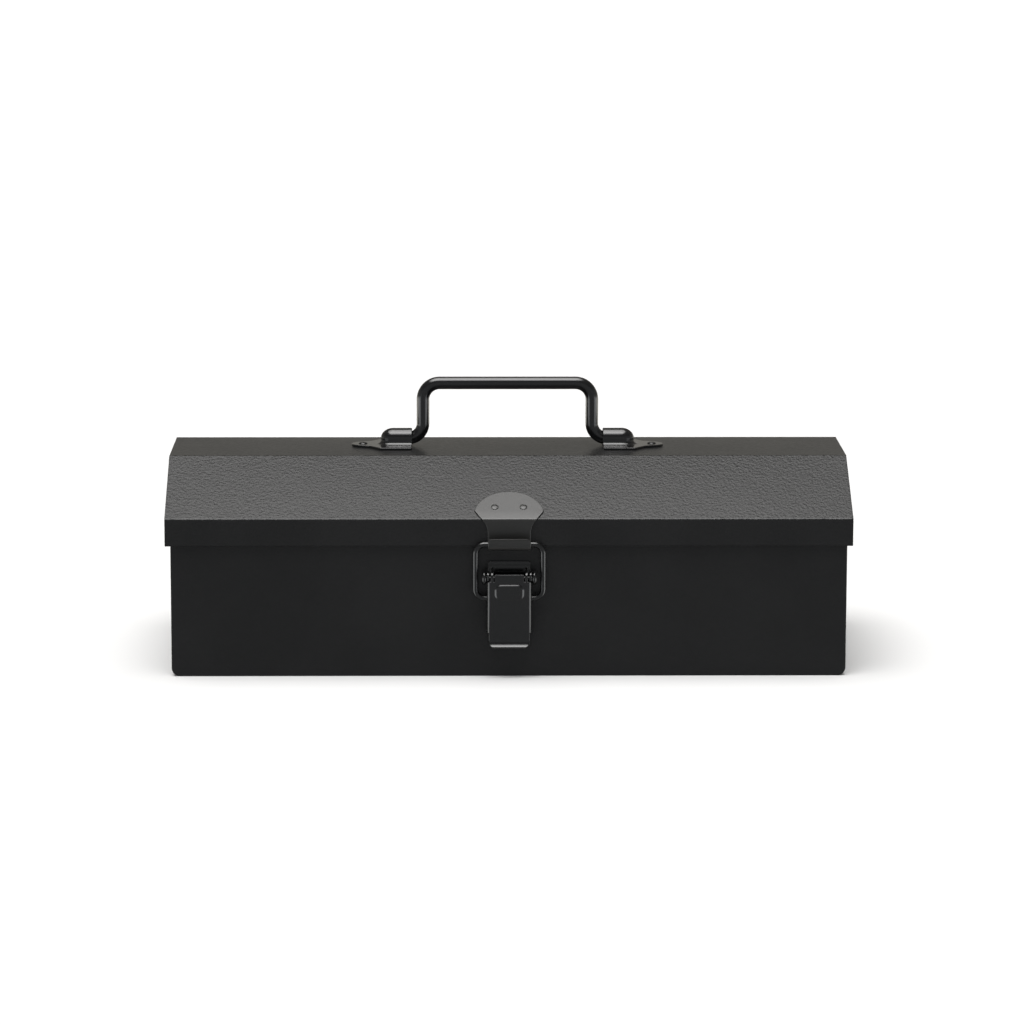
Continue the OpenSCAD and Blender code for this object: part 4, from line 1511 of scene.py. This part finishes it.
@dataclass
class Studio:
    """Camera, pale floor and soft light."""

    lens: float = 148.1
    sensor: float = 36.0
    camera_at: tuple[float, float, float] = (-0.0315, -2.2704, 0.4762)
    yaw: float = math.radians(0.86)
    pitch: float = math.radians(10.01)
    roll: float = math.radians(0.10)
    floor_size: float = 30.0
    floor_colour: tuple[float, ...] = (0.72, 0.72, 0.72, 1)
    tints: Stops = ((-0.5, (0.95, 0.98, 1.0)), (0.5, (1.0, 0.965, 0.88)))
    side_gain: float = 2.4
    sides: Stops = ((-0.85, WHITE), (-0.6, BLACK), (0.6, BLACK), (0.85, WHITE))
    below: Stops = ((-0.06, WHITE), (0.0, BLACK))
    levels: Stops = (
        (-1.0, (0.33, 0.33, 0.33)), (0.25, (0.37, 0.37, 0.37)), (0.45, (0.16, 0.16, 0.16)),
        (1.0, (0.16, 0.16, 0.16)))

    def build(self) -> None:
        """Builds the camera, the floor, the lamps and the surroundings."""
        self._camera()
        self._floor()
        self._surroundings()
        self._lamps()
        bpy.context.scene.view_settings.view_transform = "Standard"

    def _camera(self) -> None:
        """Makes the camera at its place, turned by yaw, pitch and roll."""
        lens = bpy.data.cameras.new("camera")
        lens.lens, lens.sensor_width = self.lens, self.sensor
        lens.clip_start, lens.clip_end = 0.05, 100
        camera = bpy.data.objects.new("camera", lens)
        level = math.cos(self.pitch)
        ahead = Vector((math.sin(self.yaw) * level, math.cos(self.yaw) * level,
                        -math.sin(self.pitch)))
        right = Vector((math.cos(self.yaw), -math.sin(self.yaw), 0))
        up = right.cross(ahead)
        side = right * math.cos(self.roll) + up * math.sin(self.roll)
        top = up * math.cos(self.roll) - right * math.sin(self.roll)
        turn = Matrix((side, top, -ahead)).transposed().to_4x4()
        camera.matrix_world = Matrix.Translation(self.camera_at) @ turn
        bpy.context.scene.collection.objects.link(camera)
        bpy.context.scene.camera = camera

    def _floor(self) -> None:
        """Makes the plain white floor."""
        half = self.floor_size / 2
        mesh = bpy.data.meshes.new("floor")
        mesh.from_pydata([(-half, -half, 0), (half, -half, 0), (half, half, 0), (-half, half, 0)],
                         [], [(0, 1, 2, 3)])
        paper = bpy.data.materials.new("white_floor")
        paper.use_nodes = True
        shader = paper.node_tree.nodes["Principled BSDF"]
        shader.inputs["Base Color"].default_value = self.floor_colour
        shader.inputs["Roughness"].default_value = 0.9
        shader.inputs["Specular IOR Level"].default_value = 0.1
        mesh.materials.append(paper)
        floor = bpy.data.objects.new("floor", mesh)
        floor.visible_glossy = False
        bpy.context.scene.collection.objects.link(floor)

    def _surroundings(self) -> None:
        """Makes the white backdrop, whose light is dim but for its low sides."""
        world = bpy.data.worlds.new("studio")
        bpy.context.scene.world = world
        world.use_nodes = True
        tree = world.node_tree
        tree.nodes.clear()
        seen = add_node(tree, "ShaderNodeBackground", Color=(1, 1, 1, 1))
        coords = add_node(tree, "ShaderNodeTexCoord")
        parts = add_node(tree, "ShaderNodeSeparateXYZ", Vector=coords.outputs["Generated"])
        low = add_node(tree, "ShaderNodeMath")
        low.operation = "MULTIPLY"
        tree.links.new(self._along(tree, parts.outputs["X"], self.sides), low.inputs[0])
        tree.links.new(self._along(tree, parts.outputs["Z"], self.below), low.inputs[1])
        sides = add_node(tree, "ShaderNodeMath")
        sides.operation = "MULTIPLY_ADD"
        sides.inputs[1].default_value = self.side_gain
        tree.links.new(low.outputs["Value"], sides.inputs[0])
        tree.links.new(self._along(tree, parts.outputs["Z"], self.levels), sides.inputs[2])
        lit = add_node(tree, "ShaderNodeBackground", Strength=sides.outputs["Value"],
                       Color=self._along(tree, parts.outputs["Y"], self.tints))
        ray = add_node(tree, "ShaderNodeLightPath")
        which = add_node(tree, "ShaderNodeMixShader", Fac=ray.outputs["Is Camera Ray"])
        tree.links.new(lit.outputs["Background"], which.inputs[1])
        tree.links.new(seen.outputs["Background"], which.inputs[2])
        add_node(tree, "ShaderNodeOutputWorld", Surface=which.outputs["Shader"])

    def _along(self, tree: bpy.types.NodeTree, value: bpy.types.NodeSocket,
               stops: Stops) -> bpy.types.NodeSocket:
        """Adds a ramp over one part of the direction.

        Args:
            tree: The surroundings' node tree.
            value: The part, from -1 to 1.
            stops: (value, colour) pairs.

        Returns:
            The socket of the ramp's colour.
        """
        span = add_node(tree, "ShaderNodeMapRange", From_Min=-1, Value=value)
        ramp = add_node(tree, "ShaderNodeValToRGB", Fac=span.outputs["Result"])
        first, last = ramp.color_ramp.elements
        first.position, last.position = ((v + 1) / 2 for v, _ in (stops[0], stops[-1]))
        for at, _ in stops[1:-1]:
            ramp.color_ramp.elements.new((at + 1) / 2)
        for stop, (_, colour) in zip(ramp.color_ramp.elements, stops):
            stop.color = (*colour, 1)
        return ramp.outputs["Color"]

    def _lamps(self) -> None:
        """Makes the wide light from above and the small one from the front."""
        self._sun("high_light", 3.1, math.radians(54), (-0.07, -0.07, 1.0), (1.0, 0.99, 0.98))
        self._sun("front_light", 1.2, math.radians(40), (-0.1, -0.38, 0.95), WHITE)

    def _sun(self, name: str, strength: float, spread: float,
             towards: tuple[float, float, float], colour: Colour) -> None:
        """Adds a light that falls evenly from one direction.

        Args:
            name: The light's name.
            strength: How bright it is.
            spread: Its angular width.
            towards: The direction that it comes from.
            colour: Its colour.
        """
        lamp = bpy.data.lights.new(name, "SUN")
        lamp.energy, lamp.angle, lamp.color = strength, spread, colour
        made = bpy.data.objects.new(name, lamp)
        made.matrix_world = Vector(towards).to_track_quat("Z", "Y").to_matrix().to_4x4()
        bpy.context.scene.collection.objects.link(made)


def main() -> None:
    """Builds the studio and every sub-assembly."""
    logging.basicConfig(level=logging.INFO, format="%(name)s: %(message)s")
    finishes = Finishes()
    rods, copies = rod_plan(), stud_plan()
    Studio().build()
    BodyBox().build(finishes, copies)
    Lid().build(finishes)
    CarryHandle().build(finishes, rods)
    HandleBrackets().build(finishes)
    Keeper().build(finishes)
    Latch().build(finishes, rods)
    Hinges().build(finishes)
    Fasteners().build(finishes, copies)


if __name__ == "__main__":
    main()
